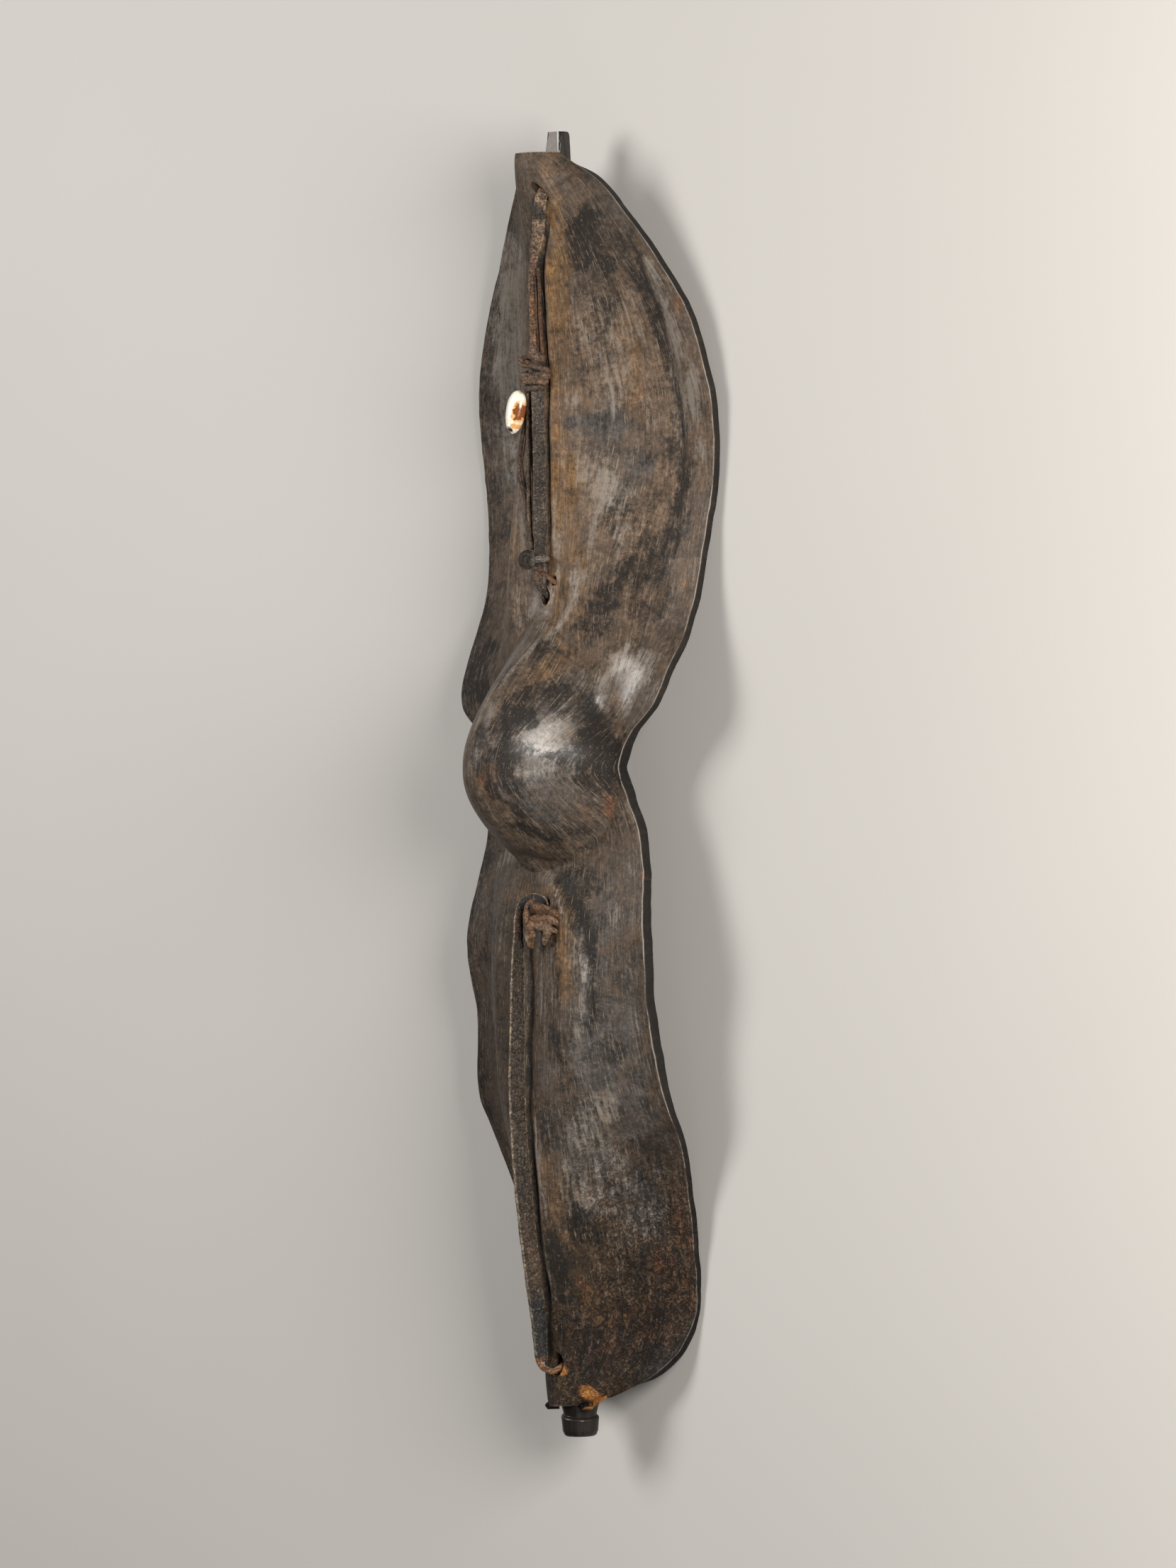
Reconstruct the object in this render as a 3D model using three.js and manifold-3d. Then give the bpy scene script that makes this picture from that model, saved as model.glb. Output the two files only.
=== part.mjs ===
// A moulded rawhide shield on a long wooden stave, lying on its back with the outer face up.
// Millimetres. X runs across the shield, Y along it towards the forked stave end, and Z is up.
// Heights in the outline curves are measured from the stave's axis; the finished group is then
// lifted so that the lowest rim touches Z = 0.
import * as THREE from "three";
import { mergeVertices } from "three/addons/utils/BufferGeometryUtils.js";
import Module from "manifold-3d";

const wasm = await Module();
wasm.setup();

// ---- driving dimensions ----
const STAVE_LENGTH = 940;
const STAVE_TOP_RADIUS = 8.5;
const STAVE_FOOT_RADIUS = 13.8;
const FORK_DEPTH = 19; // depth of the notch in the top end
const FORK_GAP = 3.4;
const FORK_TURN = THREE.MathUtils.degToRad(40); // the notch is turned about the stave

const HIDE_TOP = 454;
const HIDE_FOOT = -447;
const HIDE_ROWS = 58;
const HIDE_COLUMNS = 20;
const THIN_HIDE = 6;
const WAIST_EXTRA = 3.5; // the hide is thicker round the waist

const BOSS_Y = 8;
const BOSS_HEIGHT = 69;
const BOSS_HALF_WIDTH = 66;
const BOSS_ABOVE = 118; // the boss runs out slowly towards the top
const BOSS_BELOW = 70; // and ends short towards the foot

const GUTTER_FROM_RIM = 43; // a shallow valley runs along the upper wings
const GUTTER_WIDTH = 17;

const RING_CLEAR = 0.8; // gap between the stave and the strap rings round it

// Outline curves along the shield: [place along Y, value]
const HALF_WIDTH = [
  [454, 19], [432, 45], [395, 74], [340, 110], [285, 128.5], [240, 130], [150, 118], [80, 115],
  [55, 106], [35, 82], [12, 67], [-10, 74], [-35, 85], [-112, 100], [-165, 96], [-238, 105],
  [-300, 97], [-375, 90], [-405, 79], [-425, 60], [-440, 35], [-447, 18],
];
const RIM_HEIGHT = [
  [454, 16], [430, 1], [395, -10], [335, -23], [255, -30], [200, -32], [150, -25], [110, -12],
  [75, 5], [50, 11], [12, 12], [-35, 7], [-65, 10], [-112, 17], [-175, 10], [-225, 3],
  [-265, -14], [-310, -26], [-375, -34], [-405, -29], [-430, -15], [-447, 6],
];
const RIDGE_HEIGHT = [
  [454, 35], [432, 33], [400, 26], [370, 21.5], [300, 18.5], [230, 18.5], [165, 20.5], [110, 24],
  [12, 22], [-40, 22], [-60, 28], [-95, 36], [-172, 41], [-225, 43], [-284, 39], [-348, 32],
  [-385, 27.5], [-447, 26.2],
];
const RIDGE_BREADTH = [
  [454, 20], [425, 26], [385, 38], [330, 46], [240, 50], [165, 62], [110, 62], [60, 52],
  [-40, 50], [-110, 60], [-180, 60], [-260, 50], [-340, 44], [-400, 34], [-447, 22],
];
const RIDGE_SQUARENESS = [
  [454, 3.5], [400, 3], [330, 3.5], [165, 5.5], [110, 5.5], [60, 4], [-40, 4], [-85, 5.5],
  [-180, 5], [-340, 3], [-447, 3],
];
const GUTTER_DEPTH = [[454, 0], [390, 1], [330, 5], [260, 6], [190, 3], [120, 0], [-447, 0]];

// ---- shape helpers ----
// A smooth curve through [place, value] pairs that run from high to low places.
function along(pairs, y) {
  const last = pairs.length - 1;
  if (y >= pairs[0][0]) return pairs[0][1];
  if (y <= pairs[last][0]) return pairs[last][1];
  const i = pairs.findIndex((p) => p[0] <= y) - 1;
  const slope = (n) => {
    const before = pairs[Math.max(n - 1, 0)];
    const after = pairs[Math.min(n + 1, last)];
    return (after[1] - before[1]) / (after[0] - before[0]);
  };
  const [y0, v0] = pairs[i];
  const [y1, v1] = pairs[i + 1];
  const step = y1 - y0;
  const rise = v1 - v0;
  const s = (y - y0) / step;
  const leave = slope(i) * step - rise;
  const arrive = rise - slope(i + 1) * step;
  return v0 + s * rise + s * (1 - s) * ((1 - s) * leave + s * arrive);
}

function hideThickness(y) {
  const above = THREE.MathUtils.smoothstep(60 - y, 0, 50);
  const below = THREE.MathUtils.smoothstep(y + 250, 0, 60);
  return THIN_HIDE + WAIST_EXTRA * above * below;
}

function bossHeight(x, y) {
  const reach = y > BOSS_Y ? BOSS_ABOVE : BOSS_BELOW;
  const power = y > BOSS_Y ? 1.65 : 1.0;
  const s = (y - BOSS_Y) / reach;
  if (Math.abs(s) >= 1) return 0;
  const profile = (1 - s * s) ** power;
  const across = x / (BOSS_HALF_WIDTH * Math.sqrt(profile));
  return Math.abs(across) >= 1 ? 0 : BOSS_HEIGHT * profile * (1 - across * across) ** 1.25;
}

// Height of the outer face over the stave's axis.
function faceHeight(x, y) {
  const half = along(HALF_WIDTH, y);
  const rim = along(RIM_HEIGHT, y);
  const breadth = along(RIDGE_BREADTH, y);
  const power = along(RIDGE_SQUARENESS, y);
  const bell = (r) => 1 / (1 + (Math.abs(r) / breadth) ** power);
  const share = (bell(x) - bell(half)) / (bell(0) - bell(half));
  const fromValley = (half - Math.abs(x) - GUTTER_FROM_RIM) / GUTTER_WIDTH;
  const gutter = along(GUTTER_DEPTH, y) * Math.exp(-fromValley * fromValley);
  return rim + (along(RIDGE_HEIGHT, y) - rim) * share - gutter + bossHeight(x, y);
}

function faceNormal(x, y) {
  const e = 1.5;
  const dx = (faceHeight(x + e, y) - faceHeight(x - e, y)) / (2 * e);
  const dy = (faceHeight(x, y + e) - faceHeight(x, y - e)) / (2 * e);
  return new THREE.Vector3(-dx, -dy, 1).normalize();
}

function solidFrom(points, faces) {
  const g = new THREE.BufferGeometry();
  g.setAttribute("position", new THREE.Float32BufferAttribute(points.flatMap((p) => p.toArray()), 3));
  g.setIndex(faces.flat());
  return g;
}

function toManifold(geometry) {
  const g = geometry.clone();
  g.deleteAttribute("normal");
  g.deleteAttribute("uv");
  const merged = mergeVertices(g, 1e-3);
  return new wasm.Manifold(
    new wasm.Mesh({
      numProp: 3,
      vertProperties: merged.attributes.position.array,
      triVerts: new Uint32Array(merged.index.array),
    }),
  );
}

function toGeometry(manifold) {
  const mesh = manifold.getMesh();
  const g = new THREE.BufferGeometry();
  g.setAttribute("position", new THREE.BufferAttribute(new Float32Array(mesh.vertProperties), 3));
  g.setIndex(new THREE.BufferAttribute(new Uint32Array(mesh.triVerts), 1));
  g.computeVertexNormals();
  return g;
}

function fuse(geometries) {
  const solids = geometries.map(toManifold);
  return toGeometry(solids.reduce((whole, next) => whole.add(next)));
}

// Joins a row of equal rings of points into a closed solid with flat ends.
function loft(rings) {
  const n = rings[0].length;
  const points = rings.flat();
  const faces = [];
  for (let i = 0; i < rings.length - 1; i++) {
    for (let j = 0; j < n; j++) {
      const a = i * n + j;
      const b = i * n + ((j + 1) % n);
      faces.push([a, b, b + n], [a, b + n, a + n]);
    }
  }
  const end = (rings.length - 1) * n;
  for (let j = 1; j < n - 1; j++) {
    faces.push([0, j + 1, j], [end, end + j, end + j + 1]);
  }
  return solidFrom(points, faces);
}

// A round thong of the given thickness through the points.
function thong(points, thickness, sides = 8, steps = 24) {
  const curve = new THREE.CatmullRomCurve3(points);
  const frames = curve.computeFrenetFrames(steps);
  const rings = [];
  for (let i = 0; i <= steps; i++) {
    const centre = curve.getPointAt(i / steps);
    const ring = [];
    for (let j = 0; j < sides; j++) {
      const angle = (2 * Math.PI * j) / sides;
      ring.push(
        centre
          .clone()
          .addScaledVector(frames.normals[i], (thickness / 2) * Math.cos(angle))
          .addScaledVector(frames.binormals[i], (thickness / 2) * Math.sin(angle)),
      );
    }
    rings.push(ring);
  }
  return loft(rings);
}

// A flat band along Y. Each station is [x, y, z, width, thickness, lean in degrees]: at a lean of
// 0 the band lies flat, and at 90 it stands on its edge with its left edge up.
function band(stations, steps) {
  const curve = (n) => {
    const places = stations.map((s, i) => new THREE.Vector2(i, s[n]));
    return new THREE.SplineCurve(places);
  };
  const curves = [0, 1, 2, 3, 4, 5].map(curve);
  const rings = [];
  for (let i = 0; i <= steps; i++) {
    const [x, y, z, width, thickness, lean] = curves.map((c) => c.getPoint(i / steps).y);
    const angle = THREE.MathUtils.degToRad(lean);
    const across = new THREE.Vector3(Math.cos(angle), 0, -Math.sin(angle));
    const out = new THREE.Vector3(Math.sin(angle), 0, Math.cos(angle));
    const ring = [
      [-0.5, -0.35], [-0.4, -0.5], [0.4, -0.5], [0.5, -0.35],
      [0.5, 0.35], [0.4, 0.5], [-0.4, 0.5], [-0.5, 0.35],
    ].map(([u, v]) =>
      new THREE.Vector3(x, y, z).addScaledVector(across, u * width).addScaledVector(out, v * thickness),
    );
    rings.push(ring);
  }
  return loft(rings);
}

// A flat ring of hide round the stave at height y, as a closed turned profile.
function staveRing(y, width) {
  const inner = staveRadius(y) + RING_CLEAR;
  const outer = inner + 2.4;
  const profile = [
    [inner, y - width / 2], [outer, y - width / 2], [outer, y + width / 2], [inner, y + width / 2],
    [inner, y - width / 2],
  ].map(([r, h]) => new THREE.Vector2(r, h));
  return new THREE.LatheGeometry(profile, 14);
}

// A closed loop of thong round a band: an ellipse across the band, slanted along Y.
function coil(centre, halfAcross, halfOut, lean, slant, thickness) {
  const angle = THREE.MathUtils.degToRad(lean);
  const across = new THREE.Vector3(Math.cos(angle), 0, -Math.sin(angle));
  const out = new THREE.Vector3(Math.sin(angle), 0, Math.cos(angle));
  const turns = 12;
  const sides = 6;
  const rings = [];
  for (let i = 0; i < turns; i++) {
    const a = (2 * Math.PI * i) / turns;
    const spoke = across.clone().multiplyScalar(Math.cos(a)).addScaledVector(out, Math.sin(a));
    const middle = centre
      .clone()
      .addScaledVector(across, halfAcross * Math.cos(a))
      .addScaledVector(out, halfOut * Math.sin(a))
      .add(new THREE.Vector3(0, slant * Math.cos(a), 0));
    const ring = [];
    for (let j = 0; j < sides; j++) {
      const b = (2 * Math.PI * j) / sides;
      ring.push(
        middle
          .clone()
          .addScaledVector(spoke, (thickness / 2) * Math.cos(b))
          .add(new THREE.Vector3(0, (thickness / 2) * Math.sin(b), 0)),
      );
    }
    rings.push(ring);
  }
  const faces = [];
  for (let i = 0; i < turns; i++) {
    const next = ((i + 1) % turns) * sides;
    for (let j = 0; j < sides; j++) {
      const k = (j + 1) % sides;
      faces.push([i * sides + j, i * sides + k, next + k], [i * sides + j, next + k, next + j]);
    }
  }
  return solidFrom(rings.flat(), faces);
}

// A point a given height over the outer face.
function over(x, y, lift) {
  return new THREE.Vector3(x, y, faceHeight(x, y) + lift);
}

function staveRadius(y) {
  const share = (STAVE_LENGTH / 2 - y) / STAVE_LENGTH;
  return STAVE_TOP_RADIUS + (STAVE_FOOT_RADIUS - STAVE_TOP_RADIUS) * share;
}

// ---- the hide ----
function hideGeometry() {
  const front = [];
  const back = [];
  for (let i = 0; i <= HIDE_ROWS; i++) {
    const y = THREE.MathUtils.lerp(HIDE_TOP, HIDE_FOOT, i / HIDE_ROWS);
    const half = along(HALF_WIDTH, y);
    for (let j = 0; j <= HIDE_COLUMNS; j++) {
      const x = half * ((2 * j) / HIDE_COLUMNS - 1);
      const point = over(x, y, 0);
      front.push(point);
      back.push(point.clone().addScaledVector(faceNormal(x * 0.995, y), -hideThickness(y)));
    }
  }
  const across = HIDE_COLUMNS + 1;
  const behind = front.length;
  const faces = [];
  const quad = (a, b, c, d) => faces.push([a, b, c], [a, c, d]);
  for (let i = 0; i < HIDE_ROWS; i++) {
    for (let j = 0; j < HIDE_COLUMNS; j++) {
      const a = i * across + j;
      quad(a, a + across, a + across + 1, a + 1);
      quad(behind + a, behind + a + 1, behind + a + across + 1, behind + a + across);
    }
    const left = i * across;
    const right = left + HIDE_COLUMNS;
    quad(left, behind + left, behind + left + across, left + across);
    quad(right, right + across, behind + right + across, behind + right);
  }
  const foot = HIDE_ROWS * across;
  for (let j = 0; j < HIDE_COLUMNS; j++) {
    quad(j, j + 1, behind + j + 1, behind + j);
    quad(foot + j, behind + foot + j, behind + foot + j + 1, foot + j + 1);
  }
  return solidFrom([...front, ...back], faces);
}

// An upright cutter with an oval outline, turned about Z.
function ovalCutter(x, y, halfX, halfY, turn, depth) {
  const outline = new THREE.Shape();
  outline.absellipse(0, 0, halfX, halfY, 0, 2 * Math.PI);
  const g = new THREE.ExtrudeGeometry(outline, { depth, bevelEnabled: false, curveSegments: 7 });
  g.rotateZ(THREE.MathUtils.degToRad(turn));
  g.translate(x, y, faceHeight(x, y) + 12 - depth);
  return g;
}

const HOLES = [
  { x: 12, y: 423, halfX: 5, halfY: 10, turn: 40 }, // the upper strap comes out here
  { x: 5, y: 135, halfX: 5, halfY: 6.5, turn: 0 }, // and goes back in here
  { x: 14, y: 146, halfX: 2.6, halfY: 3.6, turn: -30 }, // tail of the lower binding
  { x: 17, y: -86, halfX: 6, halfY: 4.6, turn: 10 }, // the lower strap comes out here
  { x: 6, y: -417, halfX: 5.2, halfY: 9, turn: -12 }, // and goes back in here
];
const FOOT_NICK = { x: 27, y: -449, halfX: 4.5, halfY: 14, turn: 22 };

function hide() {
  const cuts = [...HOLES, FOOT_NICK].map((h) =>
    toManifold(ovalCutter(h.x, h.y, h.halfX, h.halfY, h.turn, 50)),
  );
  return toGeometry(cuts.reduce((body, cut) => body.subtract(cut), toManifold(hideGeometry())));
}

// ---- the stave ----
function stave() {
  const half = STAVE_LENGTH / 2;
  const groove = -half + 13; // a carved step near the foot
  const profile = [
    [0, -half], [STAVE_FOOT_RADIUS * 0.72, -half], [STAVE_FOOT_RADIUS * 0.92, -half + 4],
    [STAVE_FOOT_RADIUS * 0.97, groove - 1.5], [STAVE_FOOT_RADIUS, groove + 1],
    [STAVE_FOOT_RADIUS * 0.9, groove + 4], [staveRadius(groove + 9), groove + 9],
  ];
  const shaftStations = 8;
  for (let i = 1; i < shaftStations; i++) {
    const y = THREE.MathUtils.lerp(groove + 9, half - 24, i / shaftStations);
    profile.push([staveRadius(y), y]);
  }
  profile.push([STAVE_TOP_RADIUS, half - 24], [STAVE_TOP_RADIUS * 0.9, half - 2]);
  profile.push([STAVE_TOP_RADIUS * 0.78, half], [0, half]);
  const shaft = new THREE.LatheGeometry(profile.map(([r, y]) => new THREE.Vector2(r, y)), 20);
  // The notch between the two prongs narrows towards its bottom.
  const wedge = new THREE.Shape();
  wedge.moveTo(-FORK_GAP / 2, half + 1);
  wedge.lineTo(-0.7, half - FORK_DEPTH);
  wedge.lineTo(0.7, half - FORK_DEPTH);
  wedge.lineTo(FORK_GAP / 2, half + 1);
  wedge.closePath();
  const notch = new THREE.ExtrudeGeometry(wedge, { depth: 40, bevelEnabled: false });
  notch.translate(0, 0, -20);
  notch.rotateY(Math.PI / 2 - FORK_TURN);
  return toGeometry(toManifold(shaft).subtract(toManifold(notch)));
}

// ---- straps and thongs ----
const STRAP_THICKNESS = 3;

function upperStrap() {
  const place = (x, y, lift, width, lean) => [
    x, y, faceHeight(x, y) + lift, width, STRAP_THICKNESS, lean,
  ];
  const face = band(
    [
      place(12, 425, -3, 8, 40),
      place(11.5, 417, 3.4, 9.5, 46),
      place(9.5, 405, 5.6, 10.5, 48),
      place(6, 392, 5.8, 10, 48),
      place(0, 379, 5, 6, 42),
      place(-3, 362, 4.2, 4.6, 35),
      place(-3, 330, 4.6, 4.6, 35),
      place(-0.5, 313, 7, 6, 42),
      place(1.5, 303, 8.6, 7.8, 45),
      place(2, 292, 8.6, 9, 46),
      place(2, 276, 6.4, 11, 48),
      place(2, 230, 5.8, 11, 50),
      place(3, 200, 5.8, 11, 50),
      place(5, 176, 7, 10, 50),
      place(5, 160, 7.7, 8.4, 48),
      place(2.5, 149, 5.6, 8.2, 44),
      place(2.8, 141.6, 3.4, 6.8, 36),
      place(4.5, 135, -4, 6, 30),
    ],
    38,
  );
  const legs = [
    thong([over(12, 424, -2), over(11, 422, -9), new THREE.Vector3(6, 421, staveRadius(421))], 5, 6, 3),
    thong([over(5, 136, 0), over(5, 135, -5), new THREE.Vector3(4, 134, staveRadius(134) + 1.2)], 4.4, 6, 3),
  ];
  return fuse([face, ...legs, staveRing(421, 8), staveRing(134, 8)]);
}

function lowerStrap() {
  const place = (x, y, lift, width, thickness, lean) => [
    x, y, faceHeight(x, y) + lift, width, thickness, lean,
  ];
  const face = band(
    [
      place(-7, -93, 4.6, 7, 2.6, 80),
      place(-7, -100, 6.4, 10, 2.6, 82),
      place(-5, -125, 7.6, 12.5, 2.6, 82),
      place(-3.5, -172, 8, 13.5, 2.8, 82),
      place(-3, -225, 8, 13.5, 3.4, 80),
      place(-3.5, -284, 8, 13.5, 4.2, 78),
      place(-3.6, -340, 7.6, 12.8, 4.6, 79),
      place(-3.2, -385, 7, 11.6, 4.6, 80),
      place(-2.8, -408, 6.4, 10, 4.4, 78),
      place(-2, -419, 5.6, 8, 4, 70),
    ],
    24,
  );
  const head = thong(
    [over(16, -86, -8), over(15, -86, 1), over(8, -82.5, 4), over(0, -83, 4.6), over(-6, -88, 5), over(-7, -97, 6)],
    4.6, 6, 12,
  );
  const headLeg = thong([over(16, -86, -7), new THREE.Vector3(12, -87, 20), new THREE.Vector3(8, -88, 11.5)], 4.6, 6, 4);
  const tail = thong(
    [over(-2.5, -414, 5), over(-1, -421, 4.6), over(3, -423, 3), over(6, -419, -1), over(6, -417, -6)],
    4.6, 6, 8,
  );
  const tailLeg = thong([over(6, -418, -4), new THREE.Vector3(5, -417, staveRadius(-417) + 1)], 4.6, 6, 3);
  return fuse([face, head, headLeg, tail, tailLeg, staveRing(-88, 8), staveRing(-417, 8)]);
}

function upperThong(x, startY, endY) {
  const points = [];
  for (let i = 0; i <= 6; i++) {
    const y = THREE.MathUtils.lerp(startY, endY, i / 6);
    points.push(over(x + Math.sin(i * 1.3) * 0.5, y, 1.9));
  }
  return thong(points, 2.6, 6, 12);
}

function sideThong() {
  return thong(
    [over(-10, 282, 3.6), over(-11, 262, 2.4), over(-12, 235, 2.2), over(-11, 205, 2.2), over(-9, 180, 2.4), over(-8, 169, 3)],
    2.8, 6, 16,
  );
}

const KNOT = { x: 1, y: 298, lift: 9.1, lean: 45 };

function upperKnot() {
  const centre = (dy, shift) => over(KNOT.x + shift, KNOT.y + dy, KNOT.lift);
  return fuse([
    coil(centre(6, 0), 8.5, 4.9, KNOT.lean, 1.6, 4.2),
    coil(centre(3.4, -0.3), 8.7, 5.1, KNOT.lean, -1.2, 4.2),
    coil(centre(0.2, 0.2), 8.5, 4.9, KNOT.lean, 0.9, 4.2),
    coil(centre(-3.2, 0), 8.3, 4.8, KNOT.lean, 0.6, 4.2),
  ]);
}

function lowerBinding() {
  const centre = over(5, 161, 7.7).add(new THREE.Vector3(-1, 0, 1));
  return fuse([
    coil(centre, 8.4, 4.4, 48, 1.4, 3.4),
    coil(centre.clone().add(new THREE.Vector3(0, -3, 0)), 8.2, 4.3, 48, -0.6, 3.3),
    thong([over(10.6, 158, 3), over(12, 152, 2.6), over(13.6, 147.5, 1), over(14, 146, -3.5)], 3.2, 6, 6),
  ]);
}

function lowerKnot() {
  const strands = [0, 1, 2].map((n) => {
    const y = -92 - n * 4.4;
    return thong(
      [over(6, y - 1, 4.4), over(12, y, 7.4), over(21, y, 7.8), over(29, y - 1, 5.4), over(33, y - 2, 2.8)],
      5.6, 6, 5,
    );
  });
  return fuse([
    ...strands,
    thong([over(14, -98, 6.6), over(11, -106, 6.4), over(9, -113, 5.2), over(9.5, -120, 4)], 6, 6, 6),
    thong([over(27, -100, 5.4), over(25, -106, 5.2), over(22, -113, 4)], 5, 6, 5),
  ]);
}

// ---- the cowrie shell ----
const COWRIE = { length: 31, width: 19, height: 13, x: -21.5, y: 267, turn: -17 };

function cowrie() {
  const rings = [];
  const steps = 12;
  const sides = 16;
  for (let i = 1; i < steps; i++) {
    const s = -Math.cos((Math.PI * i) / steps);
    const belly = Math.sqrt(1 - s * s) ** 0.9;
    const pear = 1 + 0.12 * s; // broader towards the upper end
    const ring = [];
    for (let j = 0; j < sides; j++) {
      const a = (-2 * Math.PI * j) / sides;
      const flat = Math.sin(a) < 0 ? 0.72 : 1; // the mouth side is flatter
      ring.push(
        new THREE.Vector3(
          (COWRIE.width / 2) * belly * pear * Math.cos(a),
          (COWRIE.length / 2) * s,
          (COWRIE.height / 2) * belly * pear * flat * Math.sin(a),
        ),
      );
    }
    rings.push(ring);
  }
  const g = loft(rings);
  g.rotateZ(THREE.MathUtils.degToRad(COWRIE.turn));
  g.rotateY(THREE.MathUtils.degToRad(18));
  g.translate(COWRIE.x, COWRIE.y, faceHeight(COWRIE.x, COWRIE.y) + COWRIE.height / 2 + 3.4);
  return g;
}

function cowrieThong() {
  return thong(
    [
      over(-14, 290, 3), over(-17, 281, 1.5), over(-20, 270, 1.2), over(-23, 256, 1.4), over(-22, 246, 2.2),
      over(-20, 236, 1.5), over(-21, 224, 1.4), over(-19, 210, 1.4), over(-15.5, 200, 1.6),
    ],
    2, 6, 24,
  );
}

// ---- assembly ----
const FINISH = {
  rawhide: { color: 0x4d433a, roughness: 0.5, metalness: 0 },
  darkWood: { color: 0x2a211b, roughness: 0.35, metalness: 0 },
  leather: { color: 0x6a4a31, roughness: 0.7, metalness: 0 },
  shell: { color: 0xe9dcc4, roughness: 0.2, metalness: 0 },
};

const shield = new THREE.Group();
shield.name = "hide_shield";

function addPiece(name, geometry, finish) {
  const mesh = new THREE.Mesh(geometry, new THREE.MeshStandardMaterial(FINISH[finish]));
  mesh.name = name;
  shield.add(mesh);
}

addPiece("hide", hide(), "rawhide");
addPiece("stave", stave(), "darkWood");
addPiece("upper_strap", upperStrap(), "leather");
addPiece("lower_strap", lowerStrap(), "leather");
addPiece("upper_thong_left", upperThong(2, 372, 313), "leather");
addPiece("upper_thong_right", upperThong(6, 382, 310), "leather");
addPiece("upper_knot", upperKnot(), "leather");
addPiece("side_thong", sideThong(), "leather");
addPiece("lower_binding", lowerBinding(), "leather");
addPiece("lower_knot", lowerKnot(), "leather");
addPiece("cowrie", cowrie(), "shell");
addPiece("cowrie_thong", cowrieThong(), "leather");

// Lift the shield so that its lowest rim lies at Z = 0.
shield.position.z = -new THREE.Box3().setFromObject(shield).min.z;

export default shield;
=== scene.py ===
"""A moulded rawhide shield laced to a long wooden stave, lying on its back on a pale floor.

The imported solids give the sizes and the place. This script makes the finished pieces round them:
the moulded hide with its folds and worn colours, the stave, the front straps, the knots and the
shell. Shapes are worked out in millimetres, in the shield's own frame: X across the face, Y along
it towards the forked stave end, and heights measured from the stave's axis.
"""

import math

import bpy
import numpy as np
from mathutils import Matrix, Vector


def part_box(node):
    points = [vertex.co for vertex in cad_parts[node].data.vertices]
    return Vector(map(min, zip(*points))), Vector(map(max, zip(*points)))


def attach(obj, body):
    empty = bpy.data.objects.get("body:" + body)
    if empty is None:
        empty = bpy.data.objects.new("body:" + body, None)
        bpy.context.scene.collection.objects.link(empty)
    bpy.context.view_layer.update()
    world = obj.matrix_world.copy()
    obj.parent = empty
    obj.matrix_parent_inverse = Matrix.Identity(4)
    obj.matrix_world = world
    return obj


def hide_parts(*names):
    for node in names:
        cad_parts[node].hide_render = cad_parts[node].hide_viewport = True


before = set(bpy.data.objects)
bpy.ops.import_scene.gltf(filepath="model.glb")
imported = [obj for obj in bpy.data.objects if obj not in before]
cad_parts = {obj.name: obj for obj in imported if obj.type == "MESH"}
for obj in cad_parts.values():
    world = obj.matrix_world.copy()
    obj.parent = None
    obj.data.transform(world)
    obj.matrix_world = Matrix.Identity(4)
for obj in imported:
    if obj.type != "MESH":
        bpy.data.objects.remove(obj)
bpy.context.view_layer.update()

MM = 0.001
stave_low, stave_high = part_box("stave")
AXIS_Z = (stave_low.z + stave_high.z) / 2
STAVE_HALF = (stave_high.y - stave_low.y) / 2 / MM

# ---- outline of the moulded hide: [place along Y, value], in millimetres ----
HALF_WIDTH = [
    [454, 19], [432, 45], [395, 74], [340, 110], [285, 128.5], [240, 130], [150, 118], [80, 115],
    [55, 106], [35, 82], [12, 67], [-10, 74], [-35, 85], [-112, 100], [-165, 96], [-238, 105],
    [-300, 97], [-375, 90], [-405, 79], [-425, 60], [-440, 35], [-447, 18],
]
RIM_HEIGHT = [
    [454, 16], [430, 1], [395, -10], [335, -23], [255, -30], [200, -32], [150, -25], [110, -12],
    [75, 5], [50, 11], [12, 12], [-35, 7], [-65, 10], [-112, 17], [-175, 10], [-225, 3],
    [-265, -14], [-310, -26], [-375, -34], [-405, -29], [-430, -17], [-447, -9],
]
RIDGE_HEIGHT = [
    [454, 35], [432, 33], [400, 26], [370, 21.5], [300, 18.5], [230, 18.5], [165, 20.5], [110, 24],
    [12, 22], [-40, 22], [-60, 28], [-95, 36], [-172, 41], [-225, 43], [-284, 39], [-348, 32],
    [-385, 27.5], [-447, 26.2],
]
RIDGE_BREADTH = [
    [454, 20], [425, 26], [385, 38], [330, 46], [240, 50], [165, 62], [110, 62], [60, 52],
    [-40, 50], [-110, 60], [-180, 60], [-260, 50], [-340, 44], [-400, 34], [-447, 22],
]
RIDGE_SQUARENESS = [
    [454, 3.5], [400, 3], [330, 3.5], [165, 5.5], [110, 5.5], [60, 4], [-40, 4], [-85, 5.5],
    [-180, 5], [-340, 3], [-447, 3],
]
GUTTER_DEPTH = [[454, 0], [390, 1], [330, 5], [260, 6], [190, 3], [120, 0], [-447, 0]]
GUTTER_FROM_RIM = 43
GUTTER_WIDTH = 17
BOSS_Y = 8
BOSS_HEIGHT = 69
BOSS_HALF_WIDTH = 66
BOSS_ABOVE = 118
BOSS_BELOW = 70
HIDE_TOP = 454
HIDE_FOOT = -447
THIN_HIDE = 6
THICK_HIDE = 9.5
RIM_BEVEL = 0.8
MEAN_HALF_WIDTH = 105  # the markings are drawn as if the hide were this wide all down its length

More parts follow.
